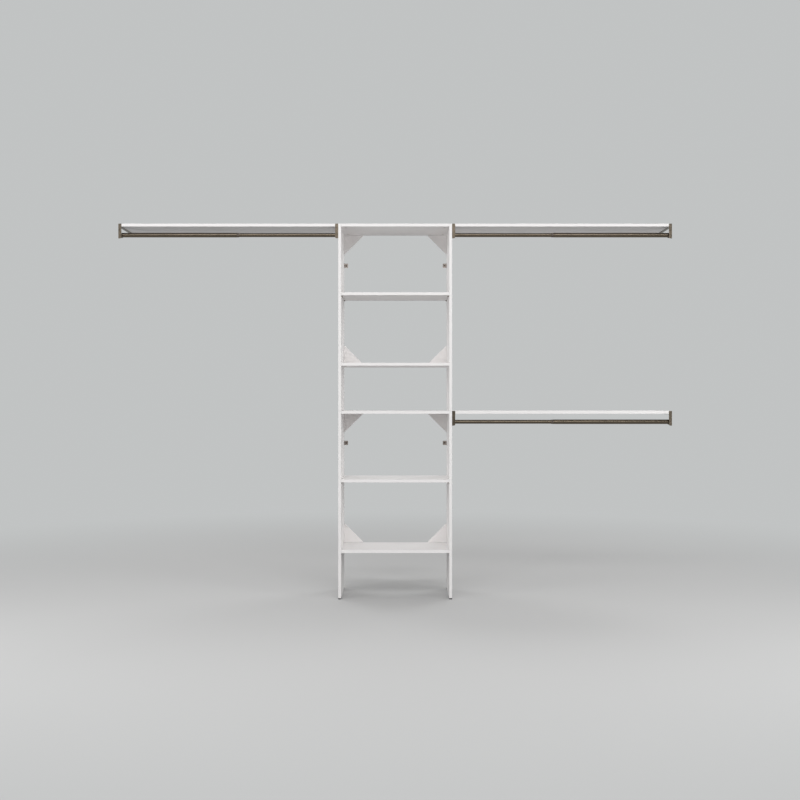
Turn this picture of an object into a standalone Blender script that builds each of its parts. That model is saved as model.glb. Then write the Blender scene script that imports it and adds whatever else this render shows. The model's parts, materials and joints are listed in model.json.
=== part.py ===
"""White closet system: a two-unit shelf tower with side shelves and telescoping hanging rods.

The origin lies on the floor under the middle of the tower. The open front faces -Y, the wall is at +Y and
+Z is up. A bay is the space between the tower and a side wall.
"""

import math

import bmesh
import bpy
from mathutils import Matrix, Vector

MM = 0.001

# Fits that all pieces share
GAP = 0.3 * MM
OVERRUN = 2 * MM
MERGE_DISTANCE = 0.01 * MM
SHARP_ANGLE = math.radians(50)

# Laminated boards and the tower
BOARD = 15.9 * MM
EDGE_EASE = 0.7 * MM
TOWER_WIDTH = 635 * MM
PANEL_DEPTH = 370 * MM
PANEL_HEIGHT = 1044.5 * MM
SHELF_SETBACK = 14.4 * MM
SHELF_DEPTH = PANEL_DEPTH - SHELF_SETBACK
FIXED_SHELF_RISE = 252 * MM
ADJUSTABLE_SHELF_RISE = 645.5 * MM
SHELF_PLAY = 0.6 * MM

# Foot glides
GLIDE_HEIGHT = 6 * MM
GLIDE_LENGTH = 40 * MM
GLIDE_EASE = 0.9 * MM
GLIDE_SPIGOT_RADIUS = 3 * MM
GLIDE_SPIGOT_LENGTH = 12 * MM

# Corner gussets and their dowels
GUSSET_LEG = 110 * MM
GUSSET_TIP = 5 * MM
DOWEL_RADIUS = 3 * MM
DOWEL_IN_GUSSET = 18 * MM
DOWEL_IN_BOARD = 10 * MM
PANEL_DOWEL_OFFSET = 34 * MM
SHELF_DOWEL_OFFSET = 60 * MM

# Stacking dowels between the two units
STACK_RADIUS = 4 * MM
STACK_DEPTH = 20 * MM
STACK_INSET = 90 * MM

# Shelf pins and their rows of holes
PIN_RADIUS = 2.3 * MM
PIN_DEPTH = 9.5 * MM
PIN_HEAD_RADIUS = 3.6 * MM
PIN_HEAD_LENGTH = 9 * MM
PIN_INSET = 37 * MM
PIN_PITCH = 32 * MM
PIN_ROWS_EACH_WAY = 2

# Cam locks and cam bolts
CAM_RADIUS = 7.5 * MM
CAM_HEIGHT = 12.5 * MM
CAM_SETBACK = 24 * MM
CAM_INSET = 50 * MM
BOLT_IN_PANEL = 10 * MM
BOLT_RADIUS = 2.5 * MM
BOLT_HEAD_RADIUS = 3.3 * MM
BOLT_HEAD_LENGTH = 4 * MM

# Wall clips behind each panel
CLIP_SHEET = 2 * MM
CLIP_WALL_LEG = 22 * MM
CLIP_PANEL_LEG = 25 * MM
CLIP_HEIGHT = 25 * MM
CLIP_DROP = 192 * MM
CLIP_CORNER = 3 * MM
CLIP_SCREW_REACH = 13 * MM
PAN_HEAD_RADIUS = 4.5 * MM
PAN_HEAD_HEIGHT = 2.6 * MM
SCREW_RADIUS = 1.9 * MM
SCREW_IN_BOARD = 12 * MM

# Side shelves
SIDE_SHELF_LENGTH = 1219.2 * MM
SHELF_END_PLAY = 1.4 * MM

# Shelf-and-rod brackets
BRACKET_SHEET = 2 * MM
STRIP_WIDTH = 17 * MM
STRIP_BELOW_SHELF = 66 * MM
PLATE_FRONT_DEPTH = 45 * MM
ARM_LENGTH = 338 * MM
ARM_LEG_HEIGHT = 12 * MM
LEDGE_WIDTH = 18 * MM
CUP_OUTER_RADIUS = 16 * MM
CUP_SIDE_HEIGHT = 8 * MM
FLAT_HEAD_RADIUS = 3.8 * MM
FLAT_HEAD_HEIGHT = 1.4 * MM
FRONT_SCREW_DROP = 16 * MM
ARM_SCREW_SHARES = (0.42, 0.75)
LEDGE_SCREW_SHARES = (0.35, 0.85)

# Telescoping rods
ROD_DROP = 45 * MM
ROD_SETBACK = 26 * MM
ROD_WALL = 0.8 * MM
OUTER_ROD_DIAMETER = 25.4 * MM
INNER_ROD_DIAMETER = 21.8 * MM
OUTER_ROD_LENGTH = 655 * MM
ROD_OVERLAP = 94 * MM
ROD_END_PLAY = 1 * MM
BUSH_COLLAR_LENGTH = 12 * MM
BUSH_COLLAR_RADIUS = 12.4 * MM
BUSH_SLEEVE_LENGTH = 18 * MM

# Counts of flat sides on round shapes
ROD_SIDES = 20
FITTING_SIDES = 10
SMALL_SIDES = 8
HIDDEN_SIDES = 6
CUP_ARC_STEPS = 8

# Places worked out from the sizes above
FRONT = -PANEL_DEPTH / 2
WALL = PANEL_DEPTH / 2
SHELF_BACK = FRONT + SHELF_DEPTH
PANEL_CENTRE = (TOWER_WIDTH - BOARD) / 2
INNER_HALF = TOWER_WIDTH / 2 - BOARD
LOWER_BASE = GLIDE_HEIGHT
UPPER_BASE = LOWER_BASE + PANEL_HEIGHT + GAP
GUSSET_MIDDLE = SHELF_BACK - BOARD / 2
BAY_WIDTH = GAP + SIDE_SHELF_LENGTH + 2 * (BRACKET_SHEET + SHELF_END_PLAY)
OUTER_ROD_BORE = OUTER_ROD_DIAMETER / 2 - ROD_WALL
UNITS = {"lower": LOWER_BASE, "upper": UPPER_BASE}
SIDES = {"left": -1, "right": 1}

# Finishes: colour, roughness and metallic value
WHITE_LAMINATE = ((0.86, 0.85, 0.84, 1), 0.3, 0)
BRONZE_METAL = ((0.3, 0.25, 0.2, 1), 0.35, 1)
ZINC_METAL = ((0.5, 0.45, 0.42, 1), 0.4, 1)
SCREW_METAL = ((0.2, 0.18, 0.16, 1), 0.4, 1)
BLACK_PLASTIC = ((0.02, 0.02, 0.02, 1), 0.5, 0)
BROWN_PLASTIC = ((0.16, 0.12, 0.09, 1), 0.5, 0)
BEECH_WOOD = ((0.55, 0.38, 0.22, 1), 0.7, 0)


def clear_scene():
    """Remove what the scene holds at the start."""
    for item in list(bpy.data.objects):
        bpy.data.objects.remove(item, do_unlink=True)


def new_collection(name):
    """Make a collection in the scene."""
    collection = bpy.data.collections.new(name)
    bpy.context.scene.collection.children.link(collection)
    return collection


def new_object(name, mesh, location=(0, 0, 0), collection=None):
    """Link a mesh as an object, at its place."""
    item = bpy.data.objects.new(name, mesh)
    (collection or PARTS).objects.link(item)
    item.location = location
    return item


def new_group(name, location=(0, 0, 0)):
    """Make an empty that carries the pieces of one sub-assembly."""
    return new_object(name, None, location)


def hang_on(parent, *pieces):
    """Parent pieces to an empty and keep their places."""
    bpy.context.view_layer.update()
    for piece in pieces:
        piece.parent = parent
        piece.matrix_parent_inverse = parent.matrix_world.inverted()


def finish(item, look):
    """Give an object its own material."""
    color, roughness, metallic = look
    material = bpy.data.materials.new(item.name + "_finish")
    material.use_nodes = True
    shader = material.node_tree.nodes["Principled BSDF"]
    shader.inputs["Base Color"].default_value = color
    shader.inputs["Roughness"].default_value = roughness
    shader.inputs["Metallic"].default_value = metallic
    item.data.materials.clear()
    item.data.materials.append(material)


def baked(item):
    """Turn an object into a plain mesh as its modifiers leave it, and remove the object."""
    bpy.context.view_layer.update()
    graph = bpy.context.evaluated_depsgraph_get()
    mesh = bpy.data.meshes.new_from_object(item.evaluated_get(graph))
    bpy.data.objects.remove(item, do_unlink=True)
    shape = bmesh.new()
    shape.from_mesh(mesh)
    bmesh.ops.remove_doubles(shape, verts=shape.verts, dist=MERGE_DISTANCE)
    bmesh.ops.recalc_face_normals(shape, faces=shape.faces)
    shape.to_mesh(mesh)
    shape.free()
    return mesh


def box_mesh(name, size):
    """Make a box of the given size about its middle."""
    mesh = bpy.data.meshes.new(name)
    shape = bmesh.new()
    bmesh.ops.create_cube(shape, size=1, matrix=Matrix.Diagonal((*size, 1)))
    shape.to_mesh(mesh)
    shape.free()
    return mesh


def outline_mesh(name, points, thickness):
    """Make a plate from a flat outline in its own XY plane, with its thickness centred on Z."""
    curve = bpy.data.curves.new(name, "CURVE")
    curve.dimensions = "2D"
    curve.fill_mode = "BOTH"
    curve.extrude = thickness / 2
    spline = curve.splines.new("POLY")
    spline.points.add(len(points) - 1)
    for point, (across, up) in zip(spline.points, points):
        point.co = (across, up, 0, 1)
    spline.use_cyclic_u = True
    return baked(new_object(name, curve))


def turned_mesh(name, profile, sides):
    """Turn a profile of (radius, height) points, top to bottom, about Z."""
    mesh = bpy.data.meshes.new(name)
    shape = bmesh.new()
    points = [shape.verts.new((radius, 0, height)) for radius, height in profile]
    for first, second in zip(points, points[1:]):
        shape.edges.new((first, second))
    shape.to_mesh(mesh)
    shape.free()
    item = new_object(name, mesh)
    screw = item.modifiers.new("turn", "SCREW")
    screw.axis = "Z"
    screw.steps = sides
    screw.render_steps = sides
    screw.use_merge_vertices = True
    screw.merge_threshold = MERGE_DISTANCE
    mesh = baked(item)
    mesh.shade_smooth()
    mesh.set_sharp_from_angle(angle=SHARP_ANGLE)
    return mesh


def moved_mesh(name, source, places):
    """Make one mesh that holds a copy of the source at each place."""
    mesh = bpy.data.meshes.new(name)
    whole = bmesh.new()
    for place in places:
        copy = bmesh.new()
        copy.from_mesh(source)
        copy.transform(place)
        if place.determinant() < 0:
            bmesh.ops.reverse_faces(copy, faces=copy.faces)
        copy.to_mesh(mesh)
        copy.free()
        whole.from_mesh(mesh)
    whole.to_mesh(mesh)
    whole.free()
    return mesh


def pointing(place, direction):
    """Give the transform that takes the origin to a place and -Z to a direction."""
    turn = Vector(direction).to_track_quat("-Z", "Y").to_matrix().to_4x4()
    return Matrix.Translation(place) @ turn


def add_bevel(item, width):
    """Ease the sharp edges of an object."""
    bevel = item.modifiers.new("ease", "BEVEL")
    bevel.width = width
    bevel.segments = 1
    bevel.limit_method = "ANGLE"


def combine(item, mesh, operation):
    """Cut a mesh out of an object, or join one to it. The mesh is in world space."""
    tool = new_object(item.name + "_tool", mesh, collection=CUTTERS)
    tool.hide_render = True
    tool.display_type = "WIRE"
    boolean = item.modifiers.new(operation.lower(), "BOOLEAN")
    boolean.operation = operation
    boolean.object = tool
    return tool


class Holes:
    """The holes to drill in one board, as closed bars in world space."""

    def __init__(self):
        self.shape = bmesh.new()

    def add(self, mouth, direction, radius, depth, sides):
        """Add a round blind hole whose flats clear the radius, from its mouth along a direction."""
        way = Vector(direction).normalized()
        length = depth + OVERRUN
        turn = way.to_track_quat("Z", "Y").to_matrix().to_4x4()
        middle = Vector(mouth) + way * (depth - OVERRUN) / 2
        bmesh.ops.create_cone(
            self.shape,
            cap_ends=True,
            segments=sides,
            radius1=radius / math.cos(math.pi / sides),
            radius2=radius / math.cos(math.pi / sides),
            depth=length,
            matrix=Matrix.Translation(middle) @ turn,
        )

    def cut(self, item):
        """Cut the holes out of an object."""
        mesh = bpy.data.meshes.new(item.name + "_holes")
        self.shape.to_mesh(mesh)
        self.shape.free()
        combine(item, mesh, "DIFFERENCE")


def make_board(name, size, middle):
    """Make a laminated board with eased edges."""
    item = new_object(name, box_mesh(name, size), middle)
    add_bevel(item, EDGE_EASE)
    finish(item, WHITE_LAMINATE)
    return item


def shelf_cam_rows():
    """Give the Y places of the cam locks."""
    return (FRONT + CAM_INSET, SHELF_BACK - CAM_INSET)


def pin_columns():
    """Give the Y places of the front and rear shelf pins."""
    return {"front": FRONT + PIN_INSET, "rear": SHELF_BACK - PIN_INSET}


def stack_columns():
    """Give the Y places of the front and rear stacking dowels."""
    return {"front": FRONT + STACK_INSET, "rear": WALL - STACK_INSET}


def glide_places():
    """Give the Y places of the front and rear glides."""
    return {"front": FRONT + GLIDE_LENGTH / 2, "rear": WALL - GLIDE_LENGTH / 2}


def fixed_shelf_bottoms(base):
    """Give the undersides of a unit's two cam-locked shelves."""
    return {"top": base + PANEL_HEIGHT - BOARD, "fixed": base + FIXED_SHELF_RISE}


def gusset_corners(base):
    """Give each gusset's shelf face, and whether it stands on the shelf or hangs under it."""
    bottoms = fixed_shelf_bottoms(base)
    return {"top": (bottoms["top"], -1), "fixed": (bottoms["fixed"] + BOARD, 1)}


def pin_heights(base):
    """Give the heights of the pin holes in a unit, the loaded row in the middle."""
    loaded = base + ADJUSTABLE_SHELF_RISE - GAP - PIN_HEAD_RADIUS
    rows = range(-PIN_ROWS_EACH_WAY, PIN_ROWS_EACH_WAY + 1)
    return [loaded + row * PIN_PITCH for row in rows]


def bays():
    """Give each bay's side and the underside of its shelf."""
    upper = UPPER_BASE + PANEL_HEIGHT - BOARD
    lower = LOWER_BASE + PANEL_HEIGHT - BOARD
    return {"upper_left": ("left", upper), "upper_right": ("right", upper), "lower_right": ("right", lower)}


def tower_face(side):
    """Give the X place of the tower's outer face on a side."""
    return SIDES[side] * TOWER_WIDTH / 2


def bay_wall(side):
    """Give the X place of the side wall."""
    return SIDES[side] * (TOWER_WIDTH / 2 + BAY_WIDTH)


def bracket_screw_places(under):
    """Give the (Y, Z) places of the screws that hold a bracket."""
    front = (FRONT + PLATE_FRONT_DEPTH - 2 * FLAT_HEAD_RADIUS, under - FRONT_SCREW_DROP)
    arm = [(FRONT + share * ARM_LENGTH, under + ARM_LEG_HEIGHT / 2) for share in ARM_SCREW_SHARES]
    return [front, *arm]


def ledge_screw_rows():
    """Give the Y places of the screws that rise through a ledge."""
    return [FRONT + share * ARM_LENGTH for share in LEDGE_SCREW_SHARES]


def make_panel(unit, side, base):
    """Make a side panel and drill everything that it carries."""
    sign = SIDES[side]
    name = f"{unit}_panel_{side}"
    middle = (sign * PANEL_CENTRE, 0, base + PANEL_HEIGHT / 2)
    panel = make_board(name, (BOARD, PANEL_DEPTH, PANEL_HEIGHT), middle)
    inner = sign * INNER_HALF
    outward = (sign, 0, 0)
    inward = (-sign, 0, 0)
    holes = Holes()
    for row in pin_columns().values():
        for height in pin_heights(base):
            holes.add((inner, row, height), outward, PIN_RADIUS + GAP, PIN_DEPTH + GAP, SMALL_SIDES)
    for bottom in fixed_shelf_bottoms(base).values():
        for row in shelf_cam_rows():
            place = (inner, row, bottom + BOARD / 2)
            holes.add(place, outward, BOLT_RADIUS + GAP, BOLT_IN_PANEL + GAP, HIDDEN_SIDES)
    for face, rise in gusset_corners(base).values():
        place = (inner, GUSSET_MIDDLE, face + rise * PANEL_DOWEL_OFFSET)
        holes.add(place, outward, DOWEL_RADIUS + GAP, DOWEL_IN_BOARD + GAP, HIDDEN_SIDES)
    clip_place = (inner, WALL - CLIP_PANEL_LEG / 2, base + PANEL_HEIGHT - CLIP_DROP)
    holes.add(clip_place, outward, SCREW_RADIUS + GAP, SCREW_IN_BOARD + GAP, HIDDEN_SIDES)
    if unit == "upper":
        stack_face, stack_way = base, (0, 0, 1)
    else:
        stack_face, stack_way = base + PANEL_HEIGHT, (0, 0, -1)
    for row in stack_columns().values():
        place = (sign * PANEL_CENTRE, row, stack_face)
        holes.add(place, stack_way, STACK_RADIUS + GAP, STACK_DEPTH + GAP, HIDDEN_SIDES)
    if unit == "lower":
        for row in glide_places().values():
            place = (sign * PANEL_CENTRE, row, base)
            holes.add(place, (0, 0, 1), GLIDE_SPIGOT_RADIUS + GAP, GLIDE_SPIGOT_LENGTH + GAP, SMALL_SIDES)
    for bay, (bay_side, under) in bays().items():
        if bay_side == side and bay.startswith(unit):
            for row, height in bracket_screw_places(under):
                place = (tower_face(side), row, height)
                holes.add(place, inward, SCREW_RADIUS + GAP, SCREW_IN_BOARD + GAP, HIDDEN_SIDES)
    holes.cut(panel)
    return panel


def make_fixed_shelf(unit, kind, base):
    """Make a cam-locked shelf with its cam pockets, dowel holes and the bolts that its cams hold."""
    bottom = fixed_shelf_bottoms(base)[kind]
    length = 2 * (INNER_HALF - GAP)
    middle = (0, FRONT + SHELF_DEPTH / 2, bottom + BOARD / 2)
    shelf = make_board(f"{unit}_{kind}_shelf", (length, SHELF_DEPTH, BOARD), middle)
    face, rise = gusset_corners(base)[kind]
    holes = Holes()
    for sign in SIDES.values():
        end = sign * length / 2
        for row in shelf_cam_rows():
            pocket = (end - sign * CAM_SETBACK, row, bottom)
            holes.add(pocket, (0, 0, 1), CAM_RADIUS + GAP, CAM_HEIGHT + 2 * GAP, FITTING_SIDES)
        dowel = (sign * (INNER_HALF - SHELF_DOWEL_OFFSET), GUSSET_MIDDLE, face)
        holes.add(dowel, (0, 0, -rise), DOWEL_RADIUS + GAP, DOWEL_IN_BOARD + GAP, HIDDEN_SIDES)
    holes.cut(shelf)
    bolts = []
    for sign in SIDES.values():
        for row in shelf_cam_rows():
            bolts.append(pointing((sign * INNER_HALF, row, bottom + BOARD / 2), (-sign, 0, 0)))
    combine(shelf, moved_mesh(shelf.name + "_bolts", bolt_mesh(), bolts), "UNION")
    return shelf


def make_adjustable_shelf(unit, base):
    """Make the loose shelf that lies on four pins."""
    length = 2 * (INNER_HALF - SHELF_PLAY)
    middle = (0, FRONT + SHELF_DEPTH / 2, base + ADJUSTABLE_SHELF_RISE + BOARD / 2)
    return make_board(f"{unit}_adjustable_shelf", (length, SHELF_DEPTH, BOARD), middle)


def dowel_mesh():
    """Make a gusset dowel that starts at zero height and points down."""
    length = DOWEL_IN_GUSSET + DOWEL_IN_BOARD
    profile = [(0, 0), (DOWEL_RADIUS, 0), (DOWEL_RADIUS, -length), (0, -length)]
    return turned_mesh("dowel", profile, HIDDEN_SIDES)


def make_gusset(unit, kind, side, base):
    """Make a triangular corner gusset with the two dowels that are glued into it."""
    sign = SIDES[side]
    face, rise = gusset_corners(base)[kind]
    points = [
        (0, 0),
        (GUSSET_LEG, 0),
        (GUSSET_LEG, GUSSET_TIP),
        (GUSSET_TIP, GUSSET_LEG),
        (0, GUSSET_LEG),
    ]
    name = f"{unit}_{kind}_gusset_{side}"
    flat = outline_mesh(name, points, BOARD)
    stand = Matrix(((-sign, 0, 0, 0), (0, 0, 1, 0), (0, rise, 0, 0), (0, 0, 0, 1)))
    corner = (sign * (INNER_HALF - GAP), GUSSET_MIDDLE, face + rise * GAP)
    gusset = new_object(name, moved_mesh(name, flat, [stand]), corner)
    add_bevel(gusset, EDGE_EASE)
    finish(gusset, WHITE_LAMINATE)
    side_start = (corner[0] - sign * DOWEL_IN_GUSSET, GUSSET_MIDDLE, face + rise * PANEL_DOWEL_OFFSET)
    across = sign * (INNER_HALF - SHELF_DOWEL_OFFSET)
    shelf_start = (across, GUSSET_MIDDLE, corner[2] + rise * DOWEL_IN_GUSSET)
    dowels = [pointing(side_start, (sign, 0, 0)), pointing(shelf_start, (0, 0, -rise))]
    combine(gusset, moved_mesh(name + "_dowels", dowel_mesh(), dowels), "UNION")
    return gusset


def make_stacking_dowel(side, place):
    """Make a dowel that lines the upper unit up on the lower one."""
    length = 2 * STACK_DEPTH
    profile = [(0, length), (STACK_RADIUS, length), (STACK_RADIUS, 0), (0, 0)]
    name = f"stacking_dowel_{side}_{place}"
    foot = (SIDES[side] * PANEL_CENTRE, stack_columns()[place], UPPER_BASE - STACK_DEPTH)
    dowel = new_object(name, turned_mesh(name, profile, SMALL_SIDES), foot)
    finish(dowel, BEECH_WOOD)
    return dowel


def make_glide(side, place):
    """Make a foot glide with the spigot that is pressed into its panel."""
    thick = GLIDE_HEIGHT - GAP
    middle = (SIDES[side] * PANEL_CENTRE, glide_places()[place], thick / 2)
    name = f"glide_{side}_{place}"
    glide = new_object(name, box_mesh(name, (BOARD, GLIDE_LENGTH, thick)), middle)
    add_bevel(glide, GLIDE_EASE)
    finish(glide, BLACK_PLASTIC)
    top = GLIDE_HEIGHT + GLIDE_SPIGOT_LENGTH
    foot = thick / 2
    profile = [(0, top), (GLIDE_SPIGOT_RADIUS, top), (GLIDE_SPIGOT_RADIUS, foot), (0, foot)]
    spigot = turned_mesh(name + "_spigot", profile, SMALL_SIDES)
    place_spigot = Matrix.Translation((middle[0], middle[1], 0))
    combine(glide, moved_mesh(name + "_spigot", spigot, [place_spigot]), "UNION")
    return glide


def make_shelf_pin(unit, side, place, base):
    """Make one of the four pins under a loose shelf, its origin at the mouth of its hole."""
    shoulder = GAP + PIN_HEAD_LENGTH
    profile = [(0, shoulder), (PIN_HEAD_RADIUS, shoulder), (PIN_HEAD_RADIUS, GAP), (PIN_RADIUS, GAP)]
    profile += [(PIN_RADIUS, -PIN_DEPTH), (0, -PIN_DEPTH)]
    sign = SIDES[side]
    turn = pointing((0, 0, 0), (sign, 0, 0))
    name = f"{unit}_shelf_pin_{side}_{place}"
    mouth = (sign * INNER_HALF, pin_columns()[place], pin_heights(base)[PIN_ROWS_EACH_WAY])
    pin = new_object(name, moved_mesh(name, turned_mesh(name, profile, SMALL_SIDES), [turn]), mouth)
    finish(pin, ZINC_METAL)
    return pin


def bolt_mesh():
    """Make one cam bolt, its panel's face at zero height and its head pointing down."""
    head_end = -GAP - CAM_SETBACK - BOLT_HEAD_LENGTH / 2
    head_top = head_end + BOLT_HEAD_LENGTH
    profile = [
        (0, BOLT_IN_PANEL),
        (BOLT_RADIUS, BOLT_IN_PANEL),
        (BOLT_RADIUS, head_top),
        (BOLT_HEAD_RADIUS, head_top),
        (BOLT_HEAD_RADIUS, head_end),
        (0, head_end),
    ]
    return turned_mesh("bolt", profile, HIDDEN_SIDES)


def make_wall_clip(unit, side, base):
    """Make the metal angle that ties a panel to the wall."""
    sign = SIDES[side]
    points = [
        (0, 0),
        (CLIP_WALL_LEG, 0),
        (CLIP_WALL_LEG, CLIP_SHEET),
        (CLIP_SHEET + CLIP_CORNER, CLIP_SHEET),
        (CLIP_SHEET, CLIP_SHEET + CLIP_CORNER),
        (CLIP_SHEET, CLIP_PANEL_LEG),
        (0, CLIP_PANEL_LEG),
    ]
    name = f"{unit}_wall_clip_{side}"
    flat = outline_mesh(name, points, CLIP_HEIGHT)
    turn = Matrix(((-sign, 0, 0, 0), (0, -1, 0, 0), (0, 0, 1, 0), (0, 0, 0, 1)))
    height = base + PANEL_HEIGHT - CLIP_DROP
    place = (sign * (INNER_HALF - GAP), WALL, height)
    clip = new_object(name, moved_mesh(name, flat, [turn]), place)
    finish(clip, ZINC_METAL)
    holes = Holes()
    wall_hole = (place[0] - sign * CLIP_SCREW_REACH, WALL - CLIP_SHEET, height)
    holes.add(wall_hole, (0, 1, 0), SCREW_RADIUS + GAP, CLIP_SHEET + OVERRUN, SMALL_SIDES)
    panel_hole = (place[0] - sign * CLIP_SHEET, WALL - CLIP_PANEL_LEG / 2, height)
    holes.add(panel_hole, (sign, 0, 0), SCREW_RADIUS + GAP, CLIP_SHEET + OVERRUN, SMALL_SIDES)
    holes.cut(clip)
    return clip


def pan_screw_mesh(shank):
    """Make a pan-head screw whose head rests at zero height and whose shank points down."""
    profile = [
        (0, PAN_HEAD_HEIGHT),
        (PAN_HEAD_RADIUS / 2, PAN_HEAD_HEIGHT),
        (PAN_HEAD_RADIUS, PAN_HEAD_HEIGHT / 2),
        (PAN_HEAD_RADIUS, GAP),
        (SCREW_RADIUS, GAP),
        (SCREW_RADIUS, -shank),
        (0, -shank),
    ]
    return turned_mesh("pan_screw", profile, SMALL_SIDES)


def make_wall_screw(unit, side, base):
    """Make the screw of a wall clip, cut off at the wall's face."""
    sign = SIDES[side]
    name = f"{unit}_wall_screw_{side}"
    height = base + PANEL_HEIGHT - CLIP_DROP
    seat = (sign * (INNER_HALF - GAP - CLIP_SCREW_REACH), WALL - CLIP_SHEET, height)
    turn = pointing((0, 0, 0), (0, 1, 0))
    screw = new_object(name, moved_mesh(name, pan_screw_mesh(CLIP_SHEET), [turn]), seat)
    finish(screw, SCREW_METAL)
    return screw


def cup_arc(radius):
    """Give the lower half circle of a rod cup, from its rear to its front, about the rod's axis."""
    steps = range(CUP_ARC_STEPS + 1)
    turns = [math.pi * step / CUP_ARC_STEPS for step in steps]
    return [(ROD_SETBACK + radius * math.cos(turn), -ROD_DROP - radius * math.sin(turn)) for turn in turns]


def bracket_mesh(name, rod_diameter, direction):
    """Make a shelf-and-rod bracket as one pressed piece.

    Its own frame has the back of the plate at X zero, the front strip's face at Y zero and the shelf's
    underside at Z zero. The direction, 1 or -1, is the way into the bay.
    """
    ledge_top = -GAP
    ledge_bottom = ledge_top - BRACKET_SHEET
    half = BRACKET_SHEET / 2
    cup_top = CUP_SIDE_HEIGHT - ROD_DROP
    rear = ROD_SETBACK + CUP_OUTER_RADIUS
    plate_points = [
        (half, BOARD),
        (PLATE_FRONT_DEPTH, BOARD),
        (PLATE_FRONT_DEPTH + ARM_LEG_HEIGHT, ARM_LEG_HEIGHT),
        (ARM_LENGTH, ARM_LEG_HEIGHT),
        (ARM_LENGTH, ledge_bottom),
        (PLATE_FRONT_DEPTH + ARM_LEG_HEIGHT, ledge_bottom),
        (PLATE_FRONT_DEPTH, ledge_bottom - ARM_LEG_HEIGHT),
        (rear, cup_top),
    ]
    plate_points += cup_arc(CUP_OUTER_RADIUS)
    plate_points += [(ROD_SETBACK - CUP_OUTER_RADIUS / 2, -STRIP_BELOW_SHELF), (half, -STRIP_BELOW_SHELF)]
    plate_points = drop_hidden_cup_front(plate_points)
    bore = rod_diameter / 2 + GAP
    bore_round = bore / math.cos(math.pi / CUP_ARC_STEPS / 2)
    cup_points = [(rear, cup_top), *cup_arc(CUP_OUTER_RADIUS)]
    cup_points += [(ROD_SETBACK - CUP_OUTER_RADIUS, cup_top), (ROD_SETBACK - bore, cup_top)]
    cup_points += [*reversed(cup_arc(bore_round)), (ROD_SETBACK + bore, cup_top)]
    # A flat outline lies in its own XY plane: this turn stands it up in YZ.
    stand = Matrix(((0, 0, 1, 0), (1, 0, 0, 0), (0, 1, 0, 0), (0, 0, 0, 1)))
    plate_place = Matrix.Translation((half, 0, 0)) @ stand
    plate = moved_mesh("plate", outline_mesh("plate", plate_points, BRACKET_SHEET), [plate_place])
    cup_length = STRIP_WIDTH - half
    cup_place = Matrix.Translation((half + cup_length / 2, 0, 0)) @ stand
    cup = moved_mesh("cup", outline_mesh("cup", cup_points, cup_length), [cup_place])
    strip_size = (STRIP_WIDTH, BRACKET_SHEET, STRIP_BELOW_SHELF + BOARD)
    strip_place = Matrix.Translation((STRIP_WIDTH / 2, half, BOARD - strip_size[2] / 2))
    strip = moved_mesh("strip", box_mesh("strip", strip_size), [strip_place])
    ledge_size = (LEDGE_WIDTH - half, ARM_LENGTH - half, BRACKET_SHEET)
    ledge_place = Matrix.Translation((half + ledge_size[0] / 2, half + ledge_size[1] / 2, ledge_top - half))
    ledge = moved_mesh("ledge", box_mesh("ledge", ledge_size), [ledge_place])
    bracket = new_object(name, plate)
    for piece in (cup, strip, ledge):
        combine(bracket, piece, "UNION")
    hole_radius = SCREW_RADIUS + GAP
    holes = Holes()
    for row, height in bracket_screw_places(0):
        place = (BRACKET_SHEET, row - FRONT, height)
        holes.add(place, (-1, 0, 0), hole_radius, 2 * BRACKET_SHEET, SMALL_SIDES)
    for row in ledge_screw_rows():
        place = (ledge_screw_reach(), row - FRONT, ledge_bottom)
        holes.add(place, (0, 0, 1), hole_radius, 2 * BRACKET_SHEET, SMALL_SIDES)
    holes.cut(bracket)
    countersinks = moved_mesh("countersinks", countersink_mesh(), countersink_places(ledge_bottom))
    combine(bracket, countersinks, "DIFFERENCE")
    return moved_mesh(name, baked(bracket), [Matrix.Diagonal((direction, 1, 1, 1))])


def drop_hidden_cup_front(points):
    """Leave out the outline points of the cup that lie behind the strip's lower end."""
    corner = ROD_SETBACK - CUP_OUTER_RADIUS / 2
    return [point for point in points if point[0] >= corner or point[0] <= BRACKET_SHEET / 2]


def ledge_screw_reach():
    """Give how far from its plate a bracket's ledge screws stand."""
    return (BRACKET_SHEET + SHELF_END_PLAY + LEDGE_WIDTH) / 2


def countersink_mesh():
    """Make the cutter of one countersink, its mouth at zero height."""
    profile = [
        (0, OVERRUN),
        (FLAT_HEAD_RADIUS + 2 * GAP, OVERRUN),
        (FLAT_HEAD_RADIUS + 2 * GAP, 0),
        (SCREW_RADIUS + 2 * GAP, -FLAT_HEAD_HEIGHT),
        (0, -FLAT_HEAD_HEIGHT),
    ]
    return turned_mesh("countersink", profile, SMALL_SIDES)


def countersink_places(ledge_bottom):
    """Give the countersinks of a bracket in its own frame."""
    places = []
    for row, height in bracket_screw_places(0):
        places.append(pointing((BRACKET_SHEET, row - FRONT, height), (-1, 0, 0)))
    for row in ledge_screw_rows():
        places.append(pointing((ledge_screw_reach(), row - FRONT, ledge_bottom), (0, 0, 1)))
    return places


def make_side_shelf(bay, side, under):
    """Make the long shelf of a bay, with pilot holes for the ledge screws."""
    sign = SIDES[side]
    start = tower_face(side) + sign * (GAP + BRACKET_SHEET + SHELF_END_PLAY)
    front = FRONT + BRACKET_SHEET + GAP
    middle = (start + sign * SIDE_SHELF_LENGTH / 2, front + SHELF_DEPTH / 2, under + BOARD / 2)
    shelf = make_board(f"{bay}_shelf", (SIDE_SHELF_LENGTH, SHELF_DEPTH, BOARD), middle)
    holes = Holes()
    for place in ledge_screw_places(side, under):
        mouth = (place[0], place[1], under)
        holes.add(mouth, (0, 0, 1), SCREW_RADIUS + GAP, SCREW_IN_BOARD + GAP, HIDDEN_SIDES)
    holes.cut(shelf)
    return shelf


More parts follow.
